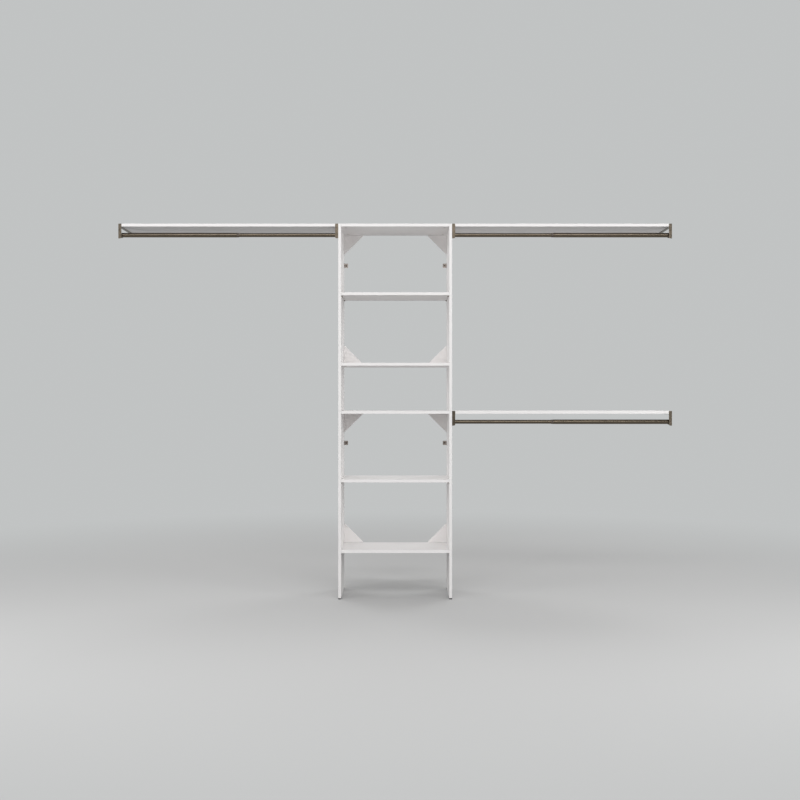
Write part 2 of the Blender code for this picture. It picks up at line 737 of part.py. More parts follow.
def bracket_mounts(side):
    """Give each bracket's mounting face and its way into the bay."""
    sign = SIDES[side]
    return {"tower": (tower_face(side) + sign * GAP, sign), "wall": (bay_wall(side), -sign)}


def ledge_screw_places(side, under):
    """Give the heads of a bay's ledge screws."""
    places = []
    for face, way in bracket_mounts(side).values():
        for row in ledge_screw_rows():
            places.append((face + way * ledge_screw_reach(), row, under - GAP - BRACKET_SHEET))
    return places


def tube_profile(outer, bore, start, end):
    """Give the closed profile of a tube from start down to end."""
    return [(outer, start), (outer, end), (bore, end), (bore, start), (outer, start)]


def flats(radius):
    """Give the corner radius of a many-sided bore whose flats clear a radius."""
    return radius / math.cos(math.pi / ROD_SIDES)


def make_rod(bay, side, under):
    """Make a telescoping rod: outer tube on the wall's side, inner tube on the tower's, bush between."""
    sign = SIDES[side]
    axis = (FRONT + ROD_SETBACK, under - ROD_DROP)
    wall_end = BAY_WIDTH - BRACKET_SHEET - ROD_END_PLAY
    tower_end = GAP + BRACKET_SHEET + ROD_END_PLAY
    mouth = wall_end - OUTER_ROD_LENGTH
    inner_end = mouth + ROD_OVERLAP
    outer_profile = tube_profile(OUTER_ROD_DIAMETER / 2, flats(OUTER_ROD_BORE), wall_end, mouth)
    inner_radius = INNER_ROD_DIAMETER / 2
    inner_profile = tube_profile(inner_radius, flats(inner_radius - ROD_WALL), inner_end, tower_end)
    bush_bore = flats(inner_radius + GAP)
    sleeve = OUTER_ROD_BORE - GAP
    bush_profile = [
        (sleeve, mouth + BUSH_SLEEVE_LENGTH),
        (sleeve, mouth - GAP),
        (BUSH_COLLAR_RADIUS, mouth - GAP),
        (BUSH_COLLAR_RADIUS, mouth - BUSH_COLLAR_LENGTH),
        (bush_bore, mouth - BUSH_COLLAR_LENGTH),
        (bush_bore, mouth + BUSH_SLEEVE_LENGTH),
        (sleeve, mouth + BUSH_SLEEVE_LENGTH),
    ]
    pieces = []
    profiles = {
        "rod_outer": (outer_profile, BRONZE_METAL),
        "rod_inner": (inner_profile, BRONZE_METAL),
        "rod_bush": (bush_profile, BROWN_PLASTIC),
    }
    lay_down = Matrix.Rotation(math.pi / 2, 4, "Y")
    outward = Matrix.Diagonal((sign, 1, 1, 1)) @ lay_down
    for kind, (profile, look) in profiles.items():
        name = f"{bay}_{kind}"
        mesh = moved_mesh(name, turned_mesh(name, profile, ROD_SIDES), [outward])
        piece = new_object(name, mesh, (tower_face(side), *axis))
        finish(piece, look)
        pieces.append(piece)
    return pieces


def make_bay(bay, side, under):
    """Make a bay: its shelf, two brackets and the rod."""
    pieces = [make_side_shelf(bay, side, under)]
    rods = {"tower": INNER_ROD_DIAMETER, "wall": OUTER_ROD_DIAMETER}
    for end, (face, way) in bracket_mounts(side).items():
        name = f"{bay}_bracket_{end}"
        bracket = new_object(name, bracket_mesh(name, rods[end], way), (face, FRONT, under))
        finish(bracket, BRONZE_METAL)
        pieces.append(bracket)
    pieces += make_rod(bay, side, under)
    hang_on(new_group(f"{bay}_bay", (tower_face(side), 0, under)), *pieces)


def make_unit(unit, base):
    """Make one unit of the tower."""
    pieces = [make_panel(unit, side, base) for side in SIDES]
    pieces += [make_fixed_shelf(unit, kind, base) for kind in ("top", "fixed")]
    pieces.append(make_adjustable_shelf(unit, base))
    for kind in ("top", "fixed"):
        pieces += [make_gusset(unit, kind, side, base) for side in SIDES]
    for side in SIDES:
        pieces += [make_shelf_pin(unit, side, place, base) for place in pin_columns()]
        pieces.append(make_wall_clip(unit, side, base))
        pieces.append(make_wall_screw(unit, side, base))
    hang_on(new_group(f"{unit}_unit", (0, 0, base)), *pieces)


clear_scene()
PARTS = new_collection("closet_system")
CUTTERS = new_collection("cutters")
for unit_name, unit_base in UNITS.items():
    make_unit(unit_name, unit_base)
for side_name in SIDES:
    for place_name in glide_places():
        make_glide(side_name, place_name)
    for place_name in stack_columns():
        make_stacking_dowel(side_name, place_name)
for bay_name, (bay_side_name, shelf_underside) in bays().items():
    make_bay(bay_name, bay_side_name, shelf_underside)
bpy.context.view_layer.update()
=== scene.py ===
"""Looks of the closet system: boards, fittings, hanging rods and the studio around them.

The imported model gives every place. Boards are drilled and banded here, and fittings and rods are made round,
rounded and dressed. Lengths are in metres.
"""

import json
import logging
import math
from collections.abc import Callable, Iterable, Sequence
from dataclasses import dataclass
from enum import Enum, auto
from functools import cache

import bmesh
import bpy
from mathutils import Matrix, Vector

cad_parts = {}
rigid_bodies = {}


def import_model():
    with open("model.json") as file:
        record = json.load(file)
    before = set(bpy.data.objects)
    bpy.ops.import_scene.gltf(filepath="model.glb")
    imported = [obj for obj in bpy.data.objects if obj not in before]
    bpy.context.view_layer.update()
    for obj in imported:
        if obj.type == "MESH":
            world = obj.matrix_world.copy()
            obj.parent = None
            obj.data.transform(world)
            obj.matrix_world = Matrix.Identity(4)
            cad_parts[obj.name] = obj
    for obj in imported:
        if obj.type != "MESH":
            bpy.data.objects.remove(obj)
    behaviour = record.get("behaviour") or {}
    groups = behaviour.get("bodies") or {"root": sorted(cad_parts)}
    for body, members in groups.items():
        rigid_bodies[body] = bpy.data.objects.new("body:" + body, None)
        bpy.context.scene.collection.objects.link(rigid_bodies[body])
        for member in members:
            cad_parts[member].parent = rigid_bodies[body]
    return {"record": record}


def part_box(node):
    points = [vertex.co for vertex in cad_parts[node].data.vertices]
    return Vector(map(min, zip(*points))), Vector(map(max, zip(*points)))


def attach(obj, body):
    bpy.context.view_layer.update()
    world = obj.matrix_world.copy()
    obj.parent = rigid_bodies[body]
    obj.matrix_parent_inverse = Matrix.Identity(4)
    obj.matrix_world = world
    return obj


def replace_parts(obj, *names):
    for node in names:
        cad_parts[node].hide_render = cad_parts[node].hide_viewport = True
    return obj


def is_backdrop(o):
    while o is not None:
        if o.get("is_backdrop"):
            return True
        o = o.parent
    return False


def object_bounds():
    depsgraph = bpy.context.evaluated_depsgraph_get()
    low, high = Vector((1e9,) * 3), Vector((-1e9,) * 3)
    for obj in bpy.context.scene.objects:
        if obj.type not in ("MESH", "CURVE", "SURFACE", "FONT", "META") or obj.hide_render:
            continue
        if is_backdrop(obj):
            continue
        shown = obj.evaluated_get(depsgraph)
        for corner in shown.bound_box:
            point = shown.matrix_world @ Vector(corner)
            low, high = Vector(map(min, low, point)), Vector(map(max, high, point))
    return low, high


LOG = logging.getLogger("closet")
MM = 0.001
MERGE_DISTANCE = 0.002 * MM
ROUND_STEPS = 40
ROD_STEPS = 72
SMALL_STEPS = 24
SHARP_TURN = math.radians(40)
FLAT_COSINE = math.cos(math.radians(20))
CUT_OVERRUN = 2 * MM
FIT_GAP = 0.3 * MM
SEAT_GAP = FIT_GAP / 3
BOARD = 15.9 * MM
BOARD_EASE = 0.7 * MM
BOARD_EASE_STEPS = 3
BOARD_SCREW = 12 * MM
RECESS_DEPTH_SHARE = 0.9
PATTERN_LOW = 0.3
PATTERN_HIGH = 0.7
REFRACTION = 1.5

Point = tuple[float, float, float]
Color = tuple[float, float, float]
Span = tuple[float, float]
Edge = bmesh.types.BMEdge
Material = bpy.types.Material
Socket = bpy.types.NodeSocket
Inputs = dict[str | int, Socket | float | tuple[float, ...]]


class Choice(Enum):
    """A choice among named options, each a plain word in the names of pieces."""

    def __str__(self) -> str:
        """The option's word."""
        return self.name.lower()


class Unit(Choice):
    """The two stacked units of the tower."""

    LOWER = auto()
    UPPER = auto()


class Side(Choice):
    """The tower's two sides, with their signs along X."""

    LEFT = -1
    RIGHT = 1


class Place(Choice):
    """Front and rear places."""

    FRONT = auto()
    REAR = auto()


class Level(Choice):
    """The two cam-locked shelves of a unit, with the way that their gussets rise."""

    TOP = -1
    FIXED = 1


class Bay(Choice):
    """The spaces beside the tower that hold a side shelf and a rod."""

    UPPER_LEFT = auto()
    UPPER_RIGHT = auto()
    LOWER_RIGHT = auto()

    @property
    def side(self) -> Side:
        """The side of the tower on which the bay lies."""
        return Side.LEFT if self is Bay.UPPER_LEFT else Side.RIGHT


class End(Choice):
    """The two ends of a bay."""

    TOWER = auto()
    WALL = auto()


@dataclass(frozen=True)
class Pattern:
    """A noise pattern: its features per metre, its finer layers and its stretch along X, Y and Z."""

    scale: float
    detail: float = 2.0
    stretch: Point | None = None


class Graph:
    """A node tree under construction, with short ways to add and feed its nodes."""

    def __init__(self, tree: bpy.types.NodeTree) -> None:
        """Work on a tree."""
        self.tree = tree

    def feed(self, node: bpy.types.Node, inputs: Inputs) -> None:
        """Link or set inputs of a node.

        Args:
            node: The node.
            inputs: Names or numbers of inputs, with the socket that feeds each or its constant.
        """
        for key, value in inputs.items():
            if isinstance(value, bpy.types.NodeSocket):
                self.tree.links.new(value, node.inputs[key])
            else:
                node.inputs[key].default_value = value

    def add(self, kind: str, output: str, inputs: Inputs, **settings: str) -> Socket:
        """Add a node.

        Args:
            kind: Its type, without the prefix of all shader nodes.
            output: The output that is used.
            inputs: What feeds its inputs.
            settings: Its own settings.

        Returns:
            The output.
        """
        node = self.tree.nodes.new(f"ShaderNode{kind}")
        for name, value in settings.items():
            setattr(node, name, value)
        self.feed(node, inputs)
        return node.outputs[output]

    def seen_rays(self) -> Socket:
        """Tell the rays that see or mirror the backdrop from those that carry light.

        Returns:
            1 for camera, glossy and transmission rays and 0 for others.
        """
        rays = self.tree.nodes.new("ShaderNodeLightPath").outputs
        total: Socket = rays["Is Camera Ray"]
        for kind in ("Is Glossy Ray", "Is Transmission Ray"):
            total = self.add("Math", "Value", {0: total, 1: rays[kind]}, operation="MAXIMUM")
        return total


class Shader(Graph):
    """A material's nodes, with short ways to add its patterns."""

    def __init__(self, name: str) -> None:
        """Start a material with one Principled shader.

        Args:
            name: The material's name.
        """
        self.material = bpy.data.materials.new(name)
        self.material.use_nodes = True
        super().__init__(self.material.node_tree)
        self.surface = self.tree.nodes["Principled BSDF"]
        self.place = self.tree.nodes.new("ShaderNodeTexCoord").outputs["Object"]

    def stretched(self, scale: Point | None) -> Socket:
        """Give the coordinates, scaled unevenly where a scale is given."""
        return self.add("Mapping", "Vector", {"Vector": self.place, "Scale": scale}) if scale else self.place

    def noise(self, pattern: Pattern) -> Socket:
        """Add a noise pattern and give its strength."""
        inputs = {"Vector": self.stretched(pattern.stretch), "Scale": pattern.scale, "Detail": pattern.detail}
        return self.add("TexNoise", "Fac", inputs)

    def ramp(self, factor: Socket, *stops: tuple[float, Color]) -> Socket:
        """Turn a strength into a colour.

        Args:
            factor: The strength.
            stops: Places from 0 to 1, with their colours.

        Returns:
            The colour.
        """
        result = self.add("ValToRGB", "Color", {"Fac": factor})
        elements = result.node.color_ramp.elements
        while len(elements) < len(stops):
            elements.new(1.0)
        for element, (place, color) in zip(elements, stops):
            element.position = place
            element.color = (*color, 1.0)
        return result

    def between(self, factor: Socket, low: float, high: float) -> Socket:
        """Map the middle of a pattern's strength to a range."""
        span = {"From Min": PATTERN_LOW, "From Max": PATTERN_HIGH, "To Min": low, "To Max": high}
        return self.add("MapRange", "Result", {"Value": factor, **span})

    def bump(self, height: Socket, depth: float, strength: float = 1.0) -> Socket:
        """Give the normal of a fine relief."""
        return self.add("Bump", "Normal", {"Height": height, "Distance": depth, "Strength": strength})

    def finished(self, inputs: Inputs) -> Material:
        """Feed the shader and give its material."""
        self.feed(self.surface, inputs)
        return self.material


@dataclass(frozen=True)
class Finish:
    """A surface with a mottled tone, whose sheen and relief follow the tone or patterns of their own."""

    name: str
    light: Color
    dark: Color
    roughness: Span
    tone: Pattern
    depth: float
    sheen: Pattern | None = None
    relief: Pattern | None = None
    first_stop: float = 0.3
    metallic: float = 0.0
    specular: float = 0.5

    def material(self) -> Material:
        """Build the material.

        Returns:
            The material.
        """
        shader = Shader(self.name)
        stops = ((self.first_stop, self.dark), (1 - self.first_stop, self.light))
        inputs = {
            "Base Color": shader.ramp(shader.noise(self.tone), *stops),
            "Roughness": shader.between(shader.noise(self.sheen or self.tone), *self.roughness),
            "Normal": shader.bump(shader.noise(self.relief or self.tone), self.depth),
            "Metallic": self.metallic,
            "IOR": REFRACTION,
            "Specular IOR Level": self.specular,
        }
        return shader.finished(inputs)


@dataclass(frozen=True)
class EdgeBand(Finish):
    """A white edge band, smoother than the laminate, with faint lines along its length."""

    light: Color = (0.865, 0.847, 0.84)
    dark: Color = (0.84, 0.822, 0.815)
    roughness: Span = (0.29, 0.36)
    tone: Pattern = Pattern(1.0, 3.0)
    depth: float = 0.002 * MM


@dataclass(frozen=True)
class Metal(Finish):
    """A coated, plated or cast metal with a mottled tone and a fine grain."""

    tone: Pattern = Pattern(90.0, 4.0)
    depth: float = 0.01 * MM
    relief: Pattern | None = Pattern(1500.0)
    metallic: float = 1.0


@dataclass(frozen=True)
class Plastic(Finish):
    """A moulded plastic with a fine spark grain."""

    tone: Pattern = Pattern(60.0)
    depth: float = 0.02 * MM
    sheen: Pattern | None = Pattern(1400.0, 3.0)
    relief: Pattern | None = Pattern(1400.0, 3.0)
    first_stop: float = 0.35


@dataclass(frozen=True)
class ParticleCore:
    """Raw particle board: pressed chips of mixed tone, seen on unbanded edges and in drilled holes."""

    name: str = "particle_core"
    dark: Color = (0.23, 0.14, 0.07)
    middle: Color = (0.46, 0.32, 0.18)
    light: Color = (0.66, 0.51, 0.33)
    stops: tuple[float, float, float] = (0.3, 0.48, 0.7)
    grain: Pattern = Pattern(1.6, 4.0, (420.0, 420.0, 900.0))
    grain_share: float = 0.5
    chip_depth: float = 0.25 * MM
    relief_strength: float = 0.6
    roughness: float = 0.85

    def material(self) -> Material:
        """Build the material.

        Returns:
            The material.
        """
        shader = Shader(self.name)
        cells = {"Vector": shader.stretched(self.grain.stretch), "Scale": 1.0}
        chips = shader.add("TexVoronoi", "Color", cells)
        mixture = {"Factor": self.grain_share, "A": chips, "B": shader.noise(self.grain)}
        tone = shader.add("Mix", "Result", mixture, data_type="RGBA")
        colors = zip(self.stops, (self.dark, self.middle, self.light))
        inputs = {
            "Base Color": shader.ramp(tone, *colors),
            "Roughness": self.roughness,
            "Normal": shader.bump(tone, self.chip_depth, self.relief_strength),
        }
        return shader.finished(inputs)


Surface = Finish | ParticleCore


@cache
def paint(surface: Surface) -> Material:
    """Give a surface's material, made at its first use."""
    return surface.material()


LAMINATE = Finish(
    "white_laminate", (0.862, 0.843, 0.836), (0.826, 0.807, 0.8), (0.42, 0.5), Pattern(5.0, 3.0), 0.0008 * MM,
    sheen=Pattern(40.0), relief=Pattern(700.0), first_stop=0.35, specular=0.35,
)
TUBE_LINES = Pattern(1.0, 3.0, (9.0, 700.0, 700.0))
SATIN_TUBE = Finish(
    "satin_tube", (0.15, 0.122, 0.09), (0.1, 0.081, 0.06), (0.19, 0.26), TUBE_LINES, 0.004 * MM,
    sheen=Pattern(14.0, 3.0), first_stop=0.25, metallic=1.0,
)
BEECH_GRAIN = Pattern(1.0, 4.0, (600.0, 600.0, 40.0))
BEECH = Finish("beech", (0.62, 0.43, 0.25), (0.42, 0.26, 0.13), (0.65, 0.65), BEECH_GRAIN, 0.02 * MM)
CORE = ParticleCore()
LEVEL_BAND = EdgeBand("edge_band_level", tone=Pattern(1.0, 3.0, (40.0, 700.0, 700.0)))
UPRIGHT_BAND = EdgeBand("edge_band_upright", tone=Pattern(1.0, 3.0, (700.0, 700.0, 40.0)))
BRACKET_COAT = Metal("bracket_coat", (0.155, 0.129, 0.1), (0.105, 0.087, 0.067), (0.3, 0.4))
CLIP_PLATING = Metal("clip_plating", (0.42, 0.37, 0.34), (0.31, 0.27, 0.245), (0.3, 0.42))
PIN_PLATING = Metal("pin_plating", (0.42, 0.38, 0.34), (0.3, 0.27, 0.24), (0.3, 0.42))
CAM_CASTING = Metal("cam_casting", (0.62, 0.61, 0.6), (0.48, 0.47, 0.46), (0.32, 0.45))
SCREW_PLATING = Metal("screw_plating", (0.15, 0.13, 0.112), (0.1, 0.085, 0.073), (0.3, 0.4))
GLIDE_PLASTIC = Plastic("glide_plastic", (0.012, 0.012, 0.013), (0.007, 0.007, 0.008), (0.5, 0.62))
BUSH_PLASTIC = Plastic("bush_plastic", (0.085, 0.062, 0.045), (0.06, 0.043, 0.032), (0.35, 0.5))


def put(name: str, data: bpy.types.ID) -> bpy.types.Object:
    """Put a new object into the scene.

    Args:
        name: The object's name.
        data: Its mesh, lamp or camera data.

    Returns:
        The object.
    """
    item = bpy.data.objects.new(name, data)
    bpy.context.scene.collection.objects.link(item)
    return item


def facing(place: Sequence[float], direction: Sequence[float]) -> Matrix:
    """Give the transform that takes the origin to a place and +Z to a direction."""
    return Matrix.Translation(place) @ Vector(direction).to_track_quat("Z", "Y").to_matrix().to_4x4()


def is_at(edge: Edge, place: dict[str, float]) -> bool:
    """Tell whether both ends of an edge are at a place, given as some of its x, y and z."""
    gaps = [abs(getattr(vert.co, axis) - way) for vert in edge.verts for axis, way in place.items()]
    return max(gaps) < MERGE_DISTANCE


@dataclass(frozen=True)
class Extent:
    """A box between two corners, such as a node's."""

    low: Vector
    high: Vector

    @property
    def middle(self) -> Vector:
        """Its middle."""
        return (self.low + self.high) / 2

    @property
    def size(self) -> Vector:
        """Its size along X, Y and Z."""
        return self.high - self.low

    @property
    def place(self) -> Matrix:
        """The transform that fills it with a unit cube."""
        return Matrix.Translation(self.middle) @ Matrix.Diagonal((*self.size, 1))

    @property
    def upright(self) -> Matrix:
        """The move that takes the Z axis to its middle."""
        return Matrix.Translation((*self.middle.xy, 0))

    @property
    def along(self) -> Matrix:
        """The transform that lays a shape on Z along X from its low end."""
        return facing((self.low.x, *self.middle.yz), (1, 0, 0))


def box_of(node: str) -> Extent:
    """Give the node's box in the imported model."""
    return Extent(*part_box(node))


class Form:
    """A mesh under construction."""

    def __init__(self) -> None:
        """Start empty."""
        self.mesh = bmesh.new()

    def run(self, operator: Callable[..., dict], **values: object) -> "Form":
        """Run a mesh operator on the shape."""
        operator(self.mesh, **values)
        return self

    @classmethod
    def box(cls, low: Sequence[float], high: Sequence[float]) -> "Form":
        """Make a box between its lowest and its highest corner."""
        place = Extent(Vector(low), Vector(high)).place
        return cls().run(bmesh.ops.create_cube, size=1, matrix=place)

    @classmethod
    def bar(cls, radius: float, bottom: float, top: float, steps: int = ROUND_STEPS) -> "Form":
        """Make an upright round bar on the Z axis.

        Args:
            radius: Its radius.
            bottom: The height of its lower end.
            top: The height of its upper end.
            steps: How many sides it has.

        Returns:
            The bar.
        """
        sizes = {"segments": steps, "radius1": radius, "radius2": radius, "depth": top - bottom}
        form = cls().run(bmesh.ops.create_cone, cap_ends=True, **sizes)
        return form.moved(Matrix.Translation((0, 0, (top + bottom) / 2)))

    @classmethod
    def turned(cls, profile: Sequence[Span], steps: int = ROUND_STEPS) -> "Form":
        """Turn a profile about the Z axis.

        Args:
            profile: Points as radius and height. The profile of a tube ends with its first point.
            steps: How many steps the turn takes.

        Returns:
            The turned shape.
        """
        form = cls()
        corners = [form.mesh.verts.new((radius, 0, height)) for radius, height in profile]
        edges = [form.mesh.edges.new(pair) for pair in zip(corners, corners[1:])]
        axis = {"cent": (0, 0, 0), "axis": (0, 0, 1)}
        bmesh.ops.spin(
            form.mesh, geom=[*corners, *edges], angle=2 * math.pi, steps=steps, use_merge=True, **axis
        )
        return form.tidied()

    @classmethod
    def plate(cls, outline: Sequence[Span], thickness: float) -> "Form":
        """Make a plate from a flat outline, centred on its thickness.

        Args:
            outline: Its corners in the XY plane.
            thickness: Its thickness along Z.

        Returns:
            The plate.
        """
        form = cls()
        face = form.mesh.faces.new([form.mesh.verts.new((x, y, -thickness / 2)) for x, y in outline])
        grown = bmesh.ops.extrude_face_region(form.mesh, geom=[face])["geom"]
        moved = [item for item in grown if isinstance(item, bmesh.types.BMVert)]
        bmesh.ops.translate(form.mesh, verts=moved, vec=(0, 0, thickness))
        return form.tidied()

    def tidied(self) -> "Form":
        """Merge doubled corners at seams and poles and turn the faces outwards."""
        self.run(bmesh.ops.remove_doubles, verts=self.mesh.verts, dist=MERGE_DISTANCE)
        return self.run(bmesh.ops.recalc_face_normals, faces=self.mesh.faces)

    def moved(self, place: Matrix) -> "Form":
        """Take the shape to a place, and tidy it if the place mirrors it."""
        self.run(bmesh.ops.transform, matrix=place, verts=self.mesh.verts)
        return self.tidied() if place.determinant() < 0 else self

    def bevelled(self, width: float, steps: int, wanted: Callable[[Edge], bool]) -> "Form":
        """Round chosen edges.

        Args:
            width: The rounding's radius.
            steps: How many steps it has.
            wanted: Tells which edges are rounded.

        Returns:
            The same shape.
        """
        edges = [edge for edge in self.mesh.edges if wanted(edge)]
        bmesh.ops.bevel(
            self.mesh, geom=edges, affect="EDGES", offset=width, offset_type="OFFSET", segments=steps,
            profile=0.5, clamp_overlap=True, material=-1,
        )
        return self

    def rounded_at(self, width: float, steps: int, *places: dict[str, float]) -> "Form":
        """Round the edges that lie at one of the places."""
        return self.bevelled(width, steps, lambda edge: any(is_at(edge, place) for place in places))

    def eased(self, width: float, steps: int = 2, least: float = math.radians(35)) -> "Form":
        """Round all edges that turn by more than the least angle."""
        return self.bevelled(width, steps, lambda edge: edge.calc_face_angle(0) > least)

    def combined(self, others: Iterable["Form"], operation: str) -> "Form":
        """Cut other shapes out of this one, or join them to it.

        Args:
            others: The other shapes.
            operation: DIFFERENCE or UNION.

        Returns:
            The same shape.
        """
        body, *tools = [put("work", form.to_data("work")) for form in (self, *others)]
        for tool in tools:
            modifier = body.modifiers.new("combine", "BOOLEAN")
            modifier.operation = operation
            modifier.solver = "MANIFOLD"
            modifier.object = tool
        graph = bpy.context.evaluated_depsgraph_get()
        result = bpy.data.meshes.new_from_object(body.evaluated_get(graph))
        self.mesh.free()
        self.mesh = bmesh.new()
        self.mesh.from_mesh(result)
        leftover = [result, *(item.data for item in (body, *tools))]
        bpy.data.batch_remove([body, *tools, *leftover])
        return self.run(bmesh.ops.remove_doubles, verts=self.mesh.verts, dist=MERGE_DISTANCE)

    def cut(self, *tools: "Form") -> "Form":
        """Cut other shapes out of this one."""
        return self.combined(tools, "DIFFERENCE")

    def joined(self, *others: "Form") -> "Form":
        """Join other shapes to this one."""
        return self.combined(others, "UNION")

    def to_data(self, name: str) -> bpy.types.Mesh:
        """Write the shape to mesh data.

        Args:
            name: The data's name.

        Returns:
            The mesh data.
        """
        data = bpy.data.meshes.new(name)
        self.mesh.to_mesh(data)
        return data

    def settle(self, name: str, surfaces: Iterable[Material], weighted: bool = True) -> bpy.types.Object:
        """Turn the shape into a finished object at the origin.

        Args:
            name: The object's name.
            surfaces: Its materials, in the order of the faces' indices.
            weighted: Whether large flats keep their shading beside small roundings.

        Returns:
            The object.
        """
        data = self.to_data(name)
        self.mesh.free()
        for material in surfaces:
            data.materials.append(material)
        data.shade_smooth()
        data.set_sharp_from_angle(angle=SHARP_TURN)
        item = put(name, data)
        if weighted:
            item.modifiers.new("flats", "WEIGHTED_NORMAL").keep_sharp = True
        return item


class PackedFrame:
    """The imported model: its nodes' boxes, bodies and material slots."""

    def __init__(self) -> None:
        """Load the model and note which body and slot each node has."""
        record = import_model()["record"]
        self.start_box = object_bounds()
        self.slots = {row["node"]: row["material_slot"] for row in record["subparts"]}
        self.bodies = {
            node: body for body, nodes in record["behaviour"]["bodies"].items() for node in nodes
        }

    def attach(self, form: Form, name: str, node: str, *surfaces: Surface) -> bpy.types.Object:
        """Finish a shape as a piece that rides with a node.

        Args:
            form: The shape.
            name: The piece's name.
            node: The node that it rides with.
            surfaces: Its surfaces, in the order of the faces' indices.

        Returns:
            The piece.
        """
        piece = form.settle(name, [paint(surface) for surface in surfaces])
        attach(piece, self.bodies[node])
        LOG.info("%s rides with %s", piece.name, node)
        return piece

    def replace(self, form: Form, node: str, making: str, *surfaces: Surface) -> None:
        """Let a shape stand for a node, named after the node and the way that it is made."""
        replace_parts(self.attach(form, f"{node}_{making}", node, *surfaces), node)

    def keep_sizes(self) -> None:
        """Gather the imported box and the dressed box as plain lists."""
        boxes = {"cad": self.start_box, "visual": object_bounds()}
        plain = {name: [list(corner) for corner in box] for name, box in boxes.items()}


@dataclass(frozen=True)
class Hole:
    """A round hole, from its mouth inwards."""

    mouth: Point
    inward: Point
    radius: float
    depth: float

    def tool(self) -> Form:
        """Make the hole's cutter."""
        bar = Form.bar(self.radius, -CUT_OVERRUN, self.depth)
        return bar.moved(facing(self.mouth, self.inward))


@dataclass(frozen=True)
class Board:
    """A laminated board with eased edges, edge band, raw edges and drilled holes."""

    extent: Extent
    thin_axis: int = 2
    holes: Sequence[Hole] = ()
    raw: tuple[Point, ...] = ((0, 1, 0),)

    def stand_for(self, node: str, frame: PackedFrame) -> None:
        """Make the board and let it stand for a node.

        Args:
            node: The node.
            frame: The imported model.
        """
        form = Form.box(self.extent.low, self.extent.high).eased(BOARD_EASE, BOARD_EASE_STEPS)
        if self.holes:
            form.cut(*[hole.tool() for hole in self.holes])
        for face in form.mesh.faces:
            face.material_index = self.surface_of(face)
        band = UPRIGHT_BAND if self.thin_axis == 0 else LEVEL_BAND
        frame.replace(form, node, "board", LAMINATE, band, CORE)

    def surface_of(self, face: bmesh.types.BMFace) -> int:
        """Tell what shows on a face.

        Args:
            face: The face.

        Returns:
            The number of its surface.
        """
        middle = face.calc_center_median()
        ways = [*(middle - self.extent.low), *(self.extent.high - middle)]
        if min(abs(way) for way in ways) > BOARD_EASE:
            return 2
        if abs(face.normal[self.thin_axis]) > FLAT_COSINE:
            return 0
        return 2 if any(face.normal.dot(Vector(way)) > FLAT_COSINE for way in self.raw) else 1


def cross_tools(reach: float, width: float, top: float) -> list[Form]:
    """Make the cutters of a cross recess of a reach and width, in a face at the top height."""
    half, low, high = width / 2, top - width * RECESS_DEPTH_SHARE, top + CUT_OVERRUN
    return [Form.box((-x, -y, low), (x, y, high)) for x, y in ((reach, half), (half, reach))]


@dataclass(frozen=True)
class Dowel:
    """An upright dowel with chamfered ends."""

    radius: float
    bottom: float
    top: float
    chamfer_share: float = 0.25

    def build(self) -> Form:
        """Make the dowel.

        Returns:
            The dowel.
        """
        radius, bottom, top = self.radius, self.bottom, self.top
        chamfer = radius * self.chamfer_share
        upper = [(0, top), (radius - chamfer, top), (radius, top - chamfer)]
        lower = [(radius, bottom + chamfer), (radius - chamfer, bottom), (0, bottom)]
        return Form.turned(upper + lower, SMALL_STEPS)


@dataclass(frozen=True)
class Screw:
    """A screw that hangs down: the seat of its round head, or the face of its flat one, is at zero."""

    head_radius: float
    head_height: float
    shank: float = BOARD_SCREW
    flat: bool = False
    recess_width: float = 1.1 * MM
    shank_radius: float = 1.9 * MM
    recess_share: float = 0.62
    dome_share: float = 0.35
    dome_steps: int = 8

    def build(self) -> Form:
        """Make the screw.

        Returns:
            The screw.
        """
        radius, height = self.head_radius, self.head_height
        dome = height * self.dome_share
        if self.flat:
            profile = [(0, 0), (radius, 0), (radius, -dome / 2), (self.shank_radius, -height)]
        else:
            turns = [math.pi / 2 * step / self.dome_steps for step in range(self.dome_steps + 1)]
            profile = [(radius * math.sin(turn), height - dome + dome * math.cos(turn)) for turn in turns]
            profile += [(radius, 0), (self.shank_radius, 0)]
        form = Form.turned([*profile, (self.shank_radius, -self.shank), (0, -self.shank)])
        top = 0 if self.flat else height
        return form.cut(*cross_tools(radius * self.recess_share, self.recess_width, top))


@dataclass(frozen=True)
class CamBolt:
    """A cam bolt on the Z axis: its threaded end hangs below zero, and its head sits up in the cam."""

    setback: float = 24 * MM
    radius: float = 2.5 * MM
    in_panel: float = 10 * MM
    pitch: float = 1.25 * MM
    threads: int = 6
    neck_radius: float = 1.8 * MM
    collar: float = 2 * MM
    head_radius: float = 3.3 * MM
    head_length: float = 4 * MM
    head_shares: Span = (0.3, 0.7)

    def build(self) -> Form:
        """Make the bolt, with the middle of its head at the setback.

        Returns:
            The bolt.
        """
        neck, foot, collar = self.neck_radius, -self.in_panel, self.collar
        head = self.setback - self.head_length / 2
        profile = [(0, foot), (neck, foot)]
        for turn in range(self.threads):
            start = foot + turn * self.pitch
            profile += [(self.radius, start + self.pitch / 2), (neck, start + self.pitch)]
        profile += [(self.radius, -collar), (self.radius, collar), (neck, collar * 2), (neck, head)]
        profile += [(self.head_radius, head + share * self.head_length) for share in self.head_shares]
        profile += [(neck, head + self.head_length), (0, head + self.head_length)]
        return Form.turned(profile, SMALL_STEPS)


